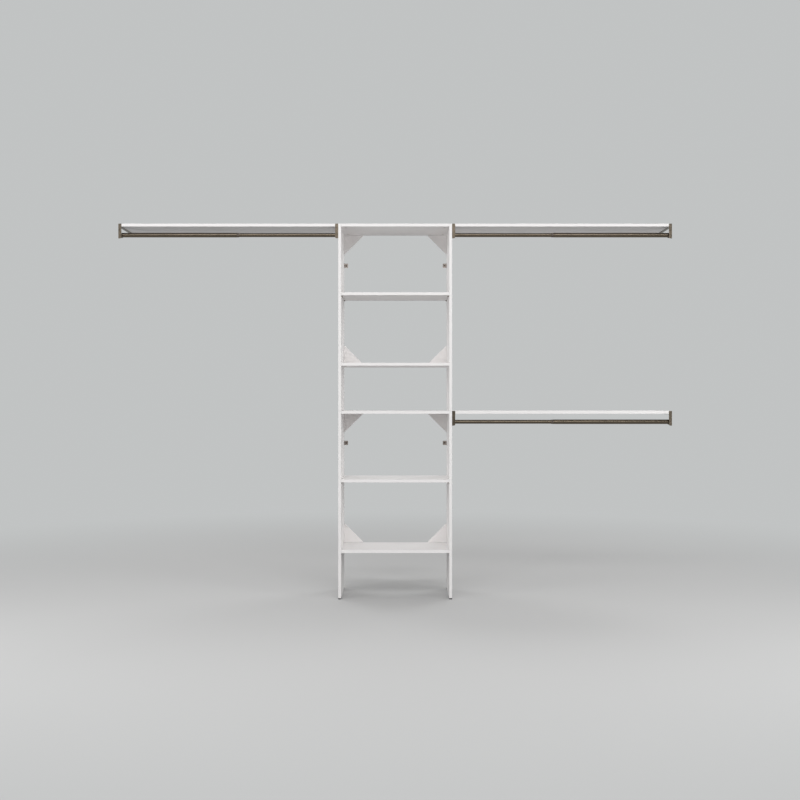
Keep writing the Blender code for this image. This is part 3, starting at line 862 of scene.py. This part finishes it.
@dataclass(frozen=True)
class CamLock:
    """A cam below zero, with a cross recess, an arrow dimple and a channel for a bolt from +X."""

    radius: float = 7.5 * MM
    height: float = 12.5 * MM
    rim: float = 0.6 * MM
    channel: float = CamBolt.head_radius + FIT_GAP
    recess_width: float = 1.6 * MM
    recess_share: float = 0.5
    arrow_radius: float = 0.9 * MM
    arrow_depth: float = 0.5 * MM
    arrow_share: float = 0.72
    arrow_sides: int = 3

    def build(self) -> Form:
        """Make the cam.

        Returns:
            The cam.
        """
        radius, height = self.radius - FIT_GAP / 2, self.height - FIT_GAP
        profile = [(0, 0), (radius - self.rim, 0), (radius, -self.rim), (radius, -height), (0, -height)]
        cross = cross_tools(radius * self.recess_share, self.recess_width, 0)
        arrow = Form.bar(self.arrow_radius, -self.arrow_depth, CUT_OVERRUN, self.arrow_sides)
        arrow.moved(Matrix.Translation((radius * self.arrow_share, 0, 0)))
        way, depth = self.channel, BOARD / 2
        slot = Form.box((-way, -way, -depth - way), (radius * 2, way, -depth + way))
        return Form.turned(profile).cut(*cross, arrow, slot)


@dataclass(frozen=True)
class Gusset:
    """A triangular gusset, its square corner at the origin, a panel along Y and a shelf along X."""

    leg: float = 110 * MM
    tip: float = 5 * MM
    dowel_radius: float = 3 * MM
    dowel_in_gusset: float = 18 * MM
    dowel_in_board: float = 10 * MM
    panel_dowel_offset: float = 34 * MM
    shelf_dowel_offset: float = 60 * MM

    def build(self) -> Form:
        """Make the gusset.

        Returns:
            The gusset.
        """
        leg, tip = self.leg, self.tip
        form = Form.plate([(0, 0), (leg, 0), (leg, tip), (tip, leg), (0, leg)], BOARD)
        form.eased(BOARD_EASE, BOARD_EASE_STEPS)
        bore, depth = self.dowel_radius + FIT_GAP / 2, self.dowel_in_gusset + FIT_GAP / 2
        panel_bore = Hole((0, self.panel_dowel_offset - FIT_GAP, 0), (1, 0, 0), bore, depth)
        shelf_bore = Hole((self.shelf_dowel_offset - FIT_GAP, 0, 0), (0, 1, 0), bore, depth)
        form.cut(panel_bore.tool(), shelf_bore.tool())
        for face in form.mesh.faces:
            face.material_index = 0 if abs(face.normal.z) > FLAT_COSINE else 1
        return form

    def dowels(self) -> dict[str, Form]:
        """Make its two dowels.

        Returns:
            The dowels, by the word of the board that each enters.
        """
        inside, length = self.dowel_in_gusset, self.dowel_in_gusset + self.dowel_in_board
        places = {
            "panel": facing((inside, self.panel_dowel_offset - FIT_GAP, 0), (-1, 0, 0)),
            "shelf": facing((self.shelf_dowel_offset - FIT_GAP, inside, 0), (0, -1, 0)),
        }
        dowel = Dowel(self.dowel_radius, 0, length)
        return {word: dowel.build().moved(place) for word, place in places.items()}

    def board_hole(self, mouth: Point, inward: Point) -> Hole:
        """Give the hole for one of its dowels in a board."""
        return Hole(mouth, inward, self.dowel_radius + FIT_GAP, self.dowel_in_board + FIT_GAP)


@dataclass(frozen=True)
class ShelfPin:
    """A shelf pin that lies along Z: a shank in the panel below zero, then a collar and a rounded nose."""

    head: float
    length: float
    depth: float
    collar: float = 1.2 * MM
    shank_radius: float = 2.35 * MM
    nose: float = 1.1 * MM
    ease: float = 0.25 * MM

    def build(self) -> Form:
        """Make the pin.

        Returns:
            The pin.
        """
        head, length, depth = self.head, self.length, self.depth
        body, collar, shank, nose = head - self.collar, self.collar, self.shank_radius, self.nose
        profile = [(0, length), (body - nose, length), (body, length - nose), (body, 2 * collar)]
        profile += [(head, 2 * collar - FIT_GAP), (head, FIT_GAP), (shank, FIT_GAP), (shank, nose - depth)]
        profile += [(shank - nose / 2, FIT_GAP - depth), (0, FIT_GAP - depth)]
        return Form.turned(profile).eased(self.ease)


@dataclass(frozen=True)
class WallClip:
    """A bent clip: one leg lies along X on the wall at Y zero, the other along Y on the panel at X zero."""

    size: Vector
    sheet: float = 2 * MM
    corner: float = 3.5 * MM
    corner_steps: int = 5
    inner_bend: float = 1.8 * MM
    inner_bend_steps: int = 4
    hole_radius: float = 2.3 * MM
    wall_hole_reach: float = 13 * MM
    ease: float = 0.25 * MM
    wall_screw: Screw = Screw(4.5 * MM, 2.6 * MM, shank=2 * MM)
    panel_screw: Screw = Screw(4.0 * MM, 2.3 * MM)

    def build(self) -> Form:
        """Make the clip.

        Returns:
            The clip.
        """
        across, deep, tall = self.size
        sheet, steps = self.sheet, self.corner_steps
        outline = [(0, 0), (across, 0), (across, sheet), (sheet, sheet), (sheet, deep), (0, deep)]
        form = Form.plate(outline, tall)
        form.rounded_at(self.inner_bend, self.inner_bend_steps, {"x": sheet, "y": sheet})
        form.rounded_at(sheet, steps, {"x": 0, "y": 0})
        tips = [{**end, "z": z} for end in ({"x": across}, {"y": deep}) for z in (-tall / 2, tall / 2)]
        form.rounded_at(self.corner, steps, *tips)
        holes = [Form.bar(self.hole_radius, -CUT_OVERRUN, 2 * sheet).moved(place) for place in self.seats(0)]
        return form.cut(*holes).eased(self.ease)

    def seats(self, height: float) -> tuple[Matrix, Matrix]:
        """Give the places of the wall screw and the panel screw at a height over the sheet's back."""
        wall = facing((self.wall_hole_reach, height, 0), (0, 1, 0))
        return wall, facing((height, self.size.y / 2, 0), (1, 0, 0))

    def screws(self) -> tuple[Form, Form]:
        """Make its wall screw and its panel screw in their seats."""
        wall, panel = self.seats(self.sheet + SEAT_GAP)
        return self.wall_screw.build().moved(wall), self.panel_screw.build().moved(panel)


@dataclass(frozen=True)
class Tower:
    """The tower: its panels, shelves, gussets, cams, pins, clips, glides and stacking dowels."""

    frame: PackedFrame
    cam: CamLock = CamLock()
    bolt: CamBolt = CamBolt()
    corner: Gusset = Gusset()
    cam_inset: float = 50 * MM
    bolt_bore_radius: float = 3.8 * MM
    pin_hole_radius: float = 2.6 * MM
    pin_hole_depth: float = 9.8 * MM
    pin_pitch: float = 32 * MM
    pin_rows: range = range(-2, 3)
    spigot_radius: float = 3 * MM
    spigot_root: float = 2 * MM
    glide_ease: float = 1 * MM
    glide_ease_steps: int = 3

    def build(self) -> None:
        """Make everything on the tower."""
        for unit in Unit:
            for side in Side:
                self.panel(unit, side)
            for level in Level:
                self.fixed_shelf(unit, level)
                for side in Side:
                    self.gusset(unit, level, side)
            shelf = f"{unit}_adjustable_shelf"
            Board(box_of(shelf)).stand_for(shelf, self.frame)
            for side in Side:
                for place in Place:
                    self.pin(unit, side, place)
                self.clip(unit, side)
        for side in Side:
            for place in Place:
                self.glide(side, place)
                node = f"stacking_dowel_{side}_{place}"
                box = box_of(node)
                dowel = Dowel(box.size.x / 2, box.low.z, box.high.z).build()
                self.frame.replace(dowel.moved(box.upright), node, "turned", BEECH)

    def inner_face(self, side: Side) -> float:
        """The X place of a panel's inner face."""
        box = box_of(f"lower_panel_{side}")
        return (box.low if side is Side.RIGHT else box.high).x

    def shelf_face(self, unit: Unit, level: Level) -> float:
        """The height of the shelf's face that carries the gussets."""
        box = box_of(f"{unit}_{level}_shelf")
        return (box.high if level is Level.FIXED else box.low).z

    def cam_rows(self, unit: Unit, level: Level) -> Span:
        """The Y places of a shelf's front and rear cams."""
        box = box_of(f"{unit}_{level}_shelf")
        return box.low.y + self.cam_inset, box.high.y - self.cam_inset

    def panel(self, unit: Unit, side: Side) -> None:
        """Make a side panel with everything that is drilled into it.

        Args:
            unit: The unit.
            side: The side.
        """
        node = f"{unit}_panel_{side}"
        box, inner, outward = box_of(node), self.inner_face(side), (side.value, 0, 0)
        bolt_sizes = (self.bolt.radius + FIT_GAP, self.bolt.in_panel + FIT_GAP)
        holes = []
        for level in Level:
            shelf = box_of(f"{unit}_{level}_shelf").middle
            for row in self.cam_rows(unit, level):
                holes.append(Hole((inner, row, shelf.z), outward, *bolt_sizes))
            gusset = box_of(f"{unit}_{level}_gusset_{side}").middle
            height = self.shelf_face(unit, level) + level.value * self.corner.panel_dowel_offset
            holes.append(self.corner.board_hole((inner, gusset.y, height), outward))
        for place in Place:
            dowel = box_of(f"stacking_dowel_{side}_{place}")
            start, way = (box.low.z, 1) if unit is Unit.UPPER else (box.high.z, -1)
            x, y, _ = dowel.middle
            radius, _, depth = dowel.size / 2
            holes.append(Hole((x, y, start), (0, 0, way), radius + FIT_GAP, depth + FIT_GAP))
            if unit is Unit.LOWER:
                glide = box_of(f"glide_{side}_{place}")
                x, y, _ = glide.middle
                depth = glide.high.z - box.low.z + FIT_GAP
                holes.append(Hole((x, y, box.low.z), (0, 0, 1), self.spigot_radius + FIT_GAP, depth))
            _, y, middle = box_of(f"{unit}_shelf_pin_{side}_{place}").middle
            for row in self.pin_rows:
                mouth = (inner, y, middle + row * self.pin_pitch)
                holes.append(Hole(mouth, outward, self.pin_hole_radius, self.pin_hole_depth))
        Board(box, 0, holes).stand_for(node, self.frame)

    def fixed_shelf(self, unit: Unit, level: Level) -> None:
        """Make a cam-locked shelf, its cams and its bolts.

        Args:
            unit: The unit.
            level: Which shelf.
        """
        node = f"{unit}_{level}_shelf"
        box = box_of(node)
        half = self.inner_face(Side.RIGHT)
        end = half - FIT_GAP
        box.low.x, box.high.x = -end, end
        cam, bolt, corner = self.cam, self.bolt, self.corner
        holes = []
        for side in Side:
            inward = (-side.value, 0, 0)
            for place, row in zip(Place, self.cam_rows(unit, level)):
                mouth = (side.value * (end - bolt.setback), row, box.low.z)
                entry = (side.value * end, row, box.middle.z)
                holes.append(Hole(mouth, (0, 0, 1), cam.radius + FIT_GAP / 2, cam.height + FIT_GAP))
                holes.append(Hole(entry, inward, self.bolt_bore_radius, bolt.setback))
                turn = Matrix.Diagonal((side.value, 1, -1, 1))
                lock = cam.build().moved(Matrix.Translation(mouth) @ turn)
                self.frame.attach(lock, f"{node}_cam_{side}_{place}", node, CAM_CASTING)
                pin = bolt.build().moved(facing(entry, inward))
                self.frame.attach(pin, f"{node}_bolt_{side}_{place}", node, PIN_PLATING)
            gusset = box_of(f"{unit}_{level}_gusset_{side}").middle
            across = side.value * (half - corner.shelf_dowel_offset)
            mouth = (across, gusset.y, self.shelf_face(unit, level))
            holes.append(corner.board_hole(mouth, (0, 0, -level.value)))
        Board(box, holes=holes).stand_for(node, self.frame)

    def gusset(self, unit: Unit, level: Level, side: Side) -> None:
        """Make a corner gusset and its dowels.

        Args:
            unit: The unit.
            level: The shelf that it braces.
            side: The side.
        """
        node = f"{unit}_{level}_gusset_{side}"
        corner = (
            self.inner_face(side) - side.value * FIT_GAP,
            box_of(node).middle.y,
            self.shelf_face(unit, level) + level.value * FIT_GAP,
        )
        stand = Matrix(((-side.value, 0, 0, 0), (0, 0, 1, 0), (0, level.value, 0, 0), (0, 0, 0, 1)))
        place = Matrix.Translation(corner) @ stand
        self.frame.replace(self.corner.build().moved(place), node, "board", LAMINATE, LEVEL_BAND)
        for word, dowel in self.corner.dowels().items():
            self.frame.attach(dowel.moved(place), f"{node}_{word}_dowel", node, BEECH)

    def pin(self, unit: Unit, side: Side, place: Place) -> None:
        """Make a shelf pin.

        Args:
            unit: The unit.
            side: The side.
            place: Front or rear.
        """
        node = f"{unit}_shelf_pin_{side}_{place}"
        box, inner = box_of(node), self.inner_face(side)
        length = abs((box.low.x if side is Side.RIGHT else box.high.x) - inner)
        form = ShelfPin(box.size.y / 2, length, self.pin_hole_depth).build()
        form.moved(facing((inner, *box.middle.yz), (-side.value, 0, 0)))
        self.frame.replace(form, node, "turned", PIN_PLATING)

    def clip(self, unit: Unit, side: Side) -> None:
        """Make a wall clip, its wall screw and its panel screw.

        Args:
            unit: The unit.
            side: The side.
        """
        node = f"{unit}_wall_clip_{side}"
        box = box_of(node)
        inner = box.low.x if side is Side.LEFT else box.high.x
        turn = Matrix.Diagonal((-side.value, -1, 1, 1))
        place = Matrix.Translation((inner, box.high.y, box.middle.z)) @ turn
        clip = WallClip(box.size)
        self.frame.replace(clip.build().moved(place), node, "pressed", CLIP_PLATING)
        wall, panel = (screw.moved(place) for screw in clip.screws())
        self.frame.replace(wall, f"{unit}_wall_screw_{side}", "turned", SCREW_PLATING)
        self.frame.attach(panel, f"{unit}_panel_screw_{side}", f"{unit}_panel_{side}", SCREW_PLATING)

    def glide(self, side: Side, place: Place) -> None:
        """Make a foot glide with a rounded skirt and its spigot.

        Args:
            side: The side.
            place: Front or rear.
        """
        node = f"glide_{side}_{place}"
        box = box_of(node)
        foot = box_of(f"lower_panel_{side}").low.z
        slab = Form.box(box.low, (box.high.x, box.high.y, foot - FIT_GAP))
        slab.eased(self.glide_ease, self.glide_ease_steps)
        spigot = Form.bar(self.spigot_radius, foot - self.spigot_root, box.high.z)
        spigot.moved(box.upright)
        self.frame.replace(slab.joined(spigot), node, "moulded", GLIDE_PLASTIC)


@dataclass(frozen=True)
class Bracket:
    """A shelf-and-rod bracket.

    In its frame the plate's back is at X zero, the front strip's face at Y zero and the shelf's underside at
    Z zero, with the bay at +X.
    """

    rod_radius: float
    sheet: float = 2 * MM
    strip_width: float = 17 * MM
    strip_drop: float = 66 * MM
    plate_depth: float = 45 * MM
    arm_length: float = 338 * MM
    leg_height: float = 12 * MM
    ledge_width: float = 18 * MM
    cup_radius: float = 16 * MM
    cup_side: float = 8 * MM
    rod_drop: float = 45 * MM
    rod_setback: float = 26 * MM
    head_radius: float = 3.8 * MM
    head_height: float = 1.4 * MM
    recess_width: float = 0.8 * MM
    hole_radius: float = 2.2 * MM
    front_screw_drop: float = 16 * MM
    arm_screw_shares: Span = (0.42, 0.75)
    ledge_screw_shares: Span = (0.35, 0.85)
    shelf_end_play: float = 1.4 * MM
    top_corner: float = 4 * MM
    low_corner: float = 8 * MM
    corner_steps: int = 6
    arc_steps: int = 28
    ease: float = 0.35 * MM
    ease_turn: float = math.radians(50)

    def arc(self, radius: float) -> list[Span]:
        """Give the lower half circle of the cup.

        Args:
            radius: The arc's radius.

        Returns:
            Its points as Y and Z, from rear to front.
        """
        middle, drop = self.rod_setback, self.rod_drop
        turns = (math.pi * step / self.arc_steps for step in range(self.arc_steps + 1))
        return [(middle + radius * math.cos(turn), -drop - radius * math.sin(turn)) for turn in turns]

    def seats(self) -> list[tuple[Point, Point]]:
        """Give the screws' seats and where their heads face.

        Returns:
            First the seats against the upright and then those under the shelf.
        """
        sheet, arm = self.sheet, self.arm_length
        rows = [(self.plate_depth - 2 * self.head_radius, -self.front_screw_drop)]
        rows += [(share * arm, self.leg_height / 2) for share in self.arm_screw_shares]
        across = (sheet + self.shelf_end_play + self.ledge_width) / 2
        under = [(across, share * arm, -FIT_GAP - sheet) for share in self.ledge_screw_shares]
        return [((sheet, *row), (1, 0, 0)) for row in rows] + [(seat, (0, 0, -1)) for seat in under]

    def build(self) -> Form:
        """Make the bracket.

        Returns:
            The bracket.
        """
        sheet, half, width = self.sheet, self.sheet / 2, self.strip_width
        bottom = -FIT_GAP - sheet
        strip = Form.box((0, 0, -self.strip_drop), (width, sheet, BOARD))
        for radius, height in ((self.top_corner, BOARD), (self.low_corner, -self.strip_drop)):
            strip.rounded_at(radius, self.corner_steps, {"x": width, "z": height})
        ledge = Form.box((half, half, bottom), (self.ledge_width, self.arm_length, -FIT_GAP))
        form = self.plate(bottom).joined(self.cup(), strip, ledge)
        form.eased(self.ease, 2, self.ease_turn)
        return form.cut(*[self.screw_hole().moved(facing(*seat)) for seat in self.seats()])

    def upright(self, outline: Sequence[Span], start: float, end: float) -> Form:
        """Make a plate from an outline of Y and Z that stands between two places along X."""
        stand = Matrix(((0, 0, 1, (start + end) / 2), (1, 0, 0, 0), (0, 1, 0, 0), (0, 0, 0, 1)))
        return Form.plate(outline, end - start).moved(stand)

    def plate(self, bottom: float) -> Form:
        """Make the plate with its arm.

        Args:
            bottom: The height of the arm's lower edge.

        Returns:
            The plate.
        """
        half, leg, arm, depth = self.sheet / 2, self.leg_height, self.arm_length, self.plate_depth
        front, rear = self.rod_setback - self.cup_radius / 2, self.rod_setback + self.cup_radius
        outline = [(half, BOARD), (depth, BOARD), (depth + leg, leg), (arm, leg), (arm, bottom)]
        outline += [(depth + leg, bottom), (depth, bottom - leg), (rear, self.cup_side - self.rod_drop)]
        outline += [point for point in self.arc(self.cup_radius) if point[0] >= front]
        outline += [(front, -self.strip_drop), (half, -self.strip_drop)]
        return self.upright(outline, 0, self.sheet)

    def cup(self) -> Form:
        """Make the cup that the rod lies in.

        Returns:
            The cup.
        """
        top, bore = self.cup_side - self.rod_drop, self.rod_radius + FIT_GAP
        outline = [
            (self.rod_setback + self.cup_radius, top),
            *self.arc(self.cup_radius),
            (self.rod_setback - self.cup_radius, top),
            (self.rod_setback - bore, top),
            *reversed(self.arc(bore)),
            (self.rod_setback + bore, top),
        ]
        return self.upright(outline, self.sheet / 2, self.strip_width)

    def screw_hole(self) -> Form:
        """Make the cutter of a countersunk hole, its mouth at zero height.

        Returns:
            The cutter.
        """
        mouth, hole, through = self.head_radius + FIT_GAP, self.hole_radius, -2 * self.sheet
        sink = [(0, CUT_OVERRUN), (mouth, CUT_OVERRUN), (mouth, -FIT_GAP)]
        return Form.turned([*sink, (hole, -self.head_height - FIT_GAP), (hole, through), (0, through)])


@dataclass(frozen=True)
class HangingBay:
    """A bay: its side shelf, brackets, screws and telescoping rod."""

    bay: Bay
    frame: PackedFrame
    tube_wall: float = 0.8 * MM
    tube_rim: float = 0.2 * MM
    sleeve_length: float = 18 * MM
    bush_lip: float = 0.6 * MM
    bush_lead_in: float = 1.6 * MM
    bush_groove: float = 0.35 * MM
    bush_groove_shares: tuple[float, ...] = (0.55, 0.6, 0.68, 0.73)

    def build(self) -> None:
        """Make everything in the bay."""
        shelf, ends = f"{self.bay}_shelf", ((0, 1, 0), (1, 0, 0), (-1, 0, 0))
        Board(box_of(shelf), raw=ends).stand_for(shelf, self.frame)
        self.bracket(End.TOWER, "rod_inner")
        self.bracket(End.WALL, "rod_outer")
        self.tube("rod_outer")
        self.tube("rod_inner")
        self.bush()

    def bracket(self, end: End, rod: str) -> None:
        """Make a bracket and its screws.

        Args:
            end: Tower or wall.
            rod: The tube that its cup holds.
        """
        node = f"{self.bay}_bracket_{end}"
        box = box_of(node)
        inward = self.bay.side.value if end is End.TOWER else -self.bay.side.value
        shape = Bracket(box_of(f"{self.bay}_{rod}").size.z / 2)
        corner = (box.low.x if inward > 0 else box.high.x, box.low.y, box.high.z - BOARD)
        place = Matrix.Translation(corner) @ Matrix.Diagonal((inward, 1, 1, 1))
        self.frame.replace(shape.build().moved(place), node, "pressed", BRACKET_COAT)
        for number, (seat, face) in enumerate(shape.seats()):
            in_wall = end is End.WALL and face[0] == 1
            shank = shape.sheet - FIT_GAP if in_wall else BOARD_SCREW
            screw = Screw(shape.head_radius, shape.head_height, shank, True, shape.recess_width)
            sunk = Vector(seat) - Vector(face) * SEAT_GAP
            form = screw.build().moved(place @ facing(sunk, face))
            self.frame.attach(form, f"{node}_screw_{number}", node, SCREW_PLATING)

    def tube(self, kind: str) -> None:
        """Make one of the rod's tubes with rounded rims.

        Args:
            kind: The tube's word in its node's name.
        """
        node = f"{self.bay}_{kind}"
        box = box_of(node)
        radius, length, rim = box.size.z / 2, box.size.x, self.tube_rim
        bore = radius - self.tube_wall
        profile = [(radius - rim, 0), (radius, rim), (radius, length - rim), (radius - rim, length)]
        profile += [(bore + rim, length), (bore, length - rim), (bore, rim), (bore + rim, 0)]
        profile.append(profile[0])
        form = Form.turned(profile, ROD_STEPS).moved(box.along)
        self.frame.replace(form, node, "drawn", SATIN_TUBE)

    def bush(self) -> None:
        """Make the guide bush: a collar with a lead-in, and a sleeve inside the outer tube."""
        node = f"{self.bay}_rod_bush"
        box = box_of(node)
        collar, length = box.size.z / 2, box.size.x
        bore = box_of(f"{self.bay}_rod_inner").size.z / 2 + FIT_GAP
        sleeve = box_of(f"{self.bay}_rod_outer").size.z / 2 - self.tube_wall - FIT_GAP
        face = length - self.sleeve_length - FIT_GAP
        groove = collar - self.bush_groove
        radii = (collar, groove, groove, collar)
        profile = [(bore, 0), (collar - self.bush_lip, 0), (collar, self.bush_lead_in)]
        profile += [(radius, face * share) for radius, share in zip(radii, self.bush_groove_shares)]
        profile += [(collar, face), (sleeve, face), (sleeve, length), (bore, length), (bore, 0)]
        form = Form.turned(profile, ROD_STEPS)
        if self.bay.side is Side.LEFT:
            form.moved(Matrix.Translation((0, 0, length)) @ Matrix.Diagonal((1, 1, -1, 1)))
        self.frame.replace(form.moved(box.along), node, "moulded", BUSH_PLASTIC)


@dataclass(frozen=True)
class Lamp:
    """A soft lamp, with its width level, that shines at a target."""

    name: str
    place: Point
    width: float
    height: float
    power: float
    target: Point = (0.0, 0.0, 1.0)

    def add(self) -> None:
        """Add the lamp to the scene."""
        data = bpy.data.lights.new(self.name, "AREA")
        data.shape = "RECTANGLE"
        data.size = self.width
        data.size_y = self.height
        data.energy = self.power
        item = put(self.name, data)
        item.location = self.place
        way = Vector(self.target) - Vector(self.place)
        item.rotation_euler = way.to_track_quat("-Z", "Y").to_euler()


LAMPS = (
    Lamp("key", (0.0, -4.7, 3.9), 5.2, 1.2, 124.0, (0.0, 0.0, 0.6)),
    Lamp("front_left", (-3.6, -2.6, 1.3), 1.6, 1.6, 48.0),
    Lamp("front_right", (3.6, -2.6, 1.3), 1.6, 1.6, 48.0),
    Lamp("rear_left", (-3.0, 3.4, 4.2), 2.2, 2.2, 48.0),
    Lamp("rear_right", (3.0, 3.4, 4.2), 2.2, 2.2, 48.0),
    Lamp("top", (0.0, -0.4, 4.6), 3.0, 3.0, 8.0),
)


@dataclass(frozen=True)
class Studio:
    """The plain studio: floor, soft lamps, pale surroundings and the camera."""

    camera_place: Point = (0.027, -6.542, 1.1115)
    lens: float = 51.3
    sensor: float = 36.0
    floor_radius: float = 40.0
    floor_steps: int = 96
    floor_color: Color = (0.55, 0.55, 0.548)
    floor_bounce: Color = (0.24, 0.24, 0.24)
    floor_roughness: float = 0.7
    backdrop: Color = (0.535, 0.548, 0.548)
    ambient: float = 0.42
    fade_start: float = 1.4
    fade_end: float = 5.0

    def build(self) -> None:
        """Make the studio."""
        self.floor()
        self.surroundings()
        for lamp in LAMPS:
            lamp.add()
        self.camera()

    def floor(self) -> None:
        """Make a pale floor that fades into the surroundings far away and bounces little light."""
        form = Form()
        bmesh.ops.create_circle(form.mesh, cap_ends=True, segments=self.floor_steps, radius=self.floor_radius)
        shader = Shader("studio_floor")
        seen = shader.seen_rays()
        colors = {"Factor": seen, "A": (*self.floor_bounce, 1), "B": (*self.floor_color, 1)}
        tone = shader.add("Mix", "Result", colors, data_type="RGBA")
        shader.feed(shader.surface, {"Base Color": tone, "Roughness": self.floor_roughness})
        distance = shader.add("VectorMath", "Value", {0: shader.place}, operation="LENGTH")
        span = {"Value": distance, "From Min": self.fade_start, "From Max": self.fade_end}
        fade = shader.add("MapRange", "Result", span, interpolation_type="SMOOTHSTEP")
        faded = shader.add("Math", "Value", {0: fade, 1: seen}, operation="MULTIPLY")
        glow = shader.add("Emission", "Emission", {"Color": (*self.backdrop, 1)})
        layers = {"Fac": faded, 1: shader.surface.outputs["BSDF"], 2: glow}
        mixed = shader.add("MixShader", "Shader", layers)
        shader.feed(shader.tree.nodes["Material Output"], {"Surface": mixed})
        form.settle("studio_floor", [shader.material], weighted=False)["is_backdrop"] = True

    def surroundings(self) -> None:
        """Make the surroundings pale where they are seen or mirrored, and a soft light elsewhere."""
        world = bpy.data.worlds.new("studio")
        bpy.context.scene.world = world
        world.use_nodes = True
        graph = Graph(world.node_tree)
        lit = graph.tree.nodes["Background"]
        graph.feed(lit, {"Color": (1, 1, 1, 1), "Strength": self.ambient})
        seen = graph.add("Background", "Background", {"Color": (*self.backdrop, 1)})
        layers = {"Fac": graph.seen_rays(), 1: lit.outputs["Background"], 2: seen}
        mixed = graph.add("MixShader", "Shader", layers)
        graph.feed(graph.tree.nodes["World Output"], {"Surface": mixed})

    def camera(self) -> None:
        """Add the camera where the photograph was taken."""
        data = bpy.data.cameras.new("camera")
        data.lens = self.lens
        data.sensor_width = self.sensor
        item = put("camera", data)
        item.location = self.camera_place
        item.rotation_euler = (math.pi / 2, 0, 0)
        bpy.context.scene.camera = item


def main() -> None:
    """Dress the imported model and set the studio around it."""
    logging.basicConfig(level=logging.INFO, format="%(message)s")
    for item in list(bpy.data.objects):
        bpy.data.objects.remove(item, do_unlink=True)
    frame = PackedFrame()
    Tower(frame).build()
    for bay in Bay:
        HangingBay(bay, frame).build()
    Studio().build()
    bpy.context.scene.view_settings.view_transform = "Standard"
    frame.keep_sizes()


if __name__ == "__main__":
    main()
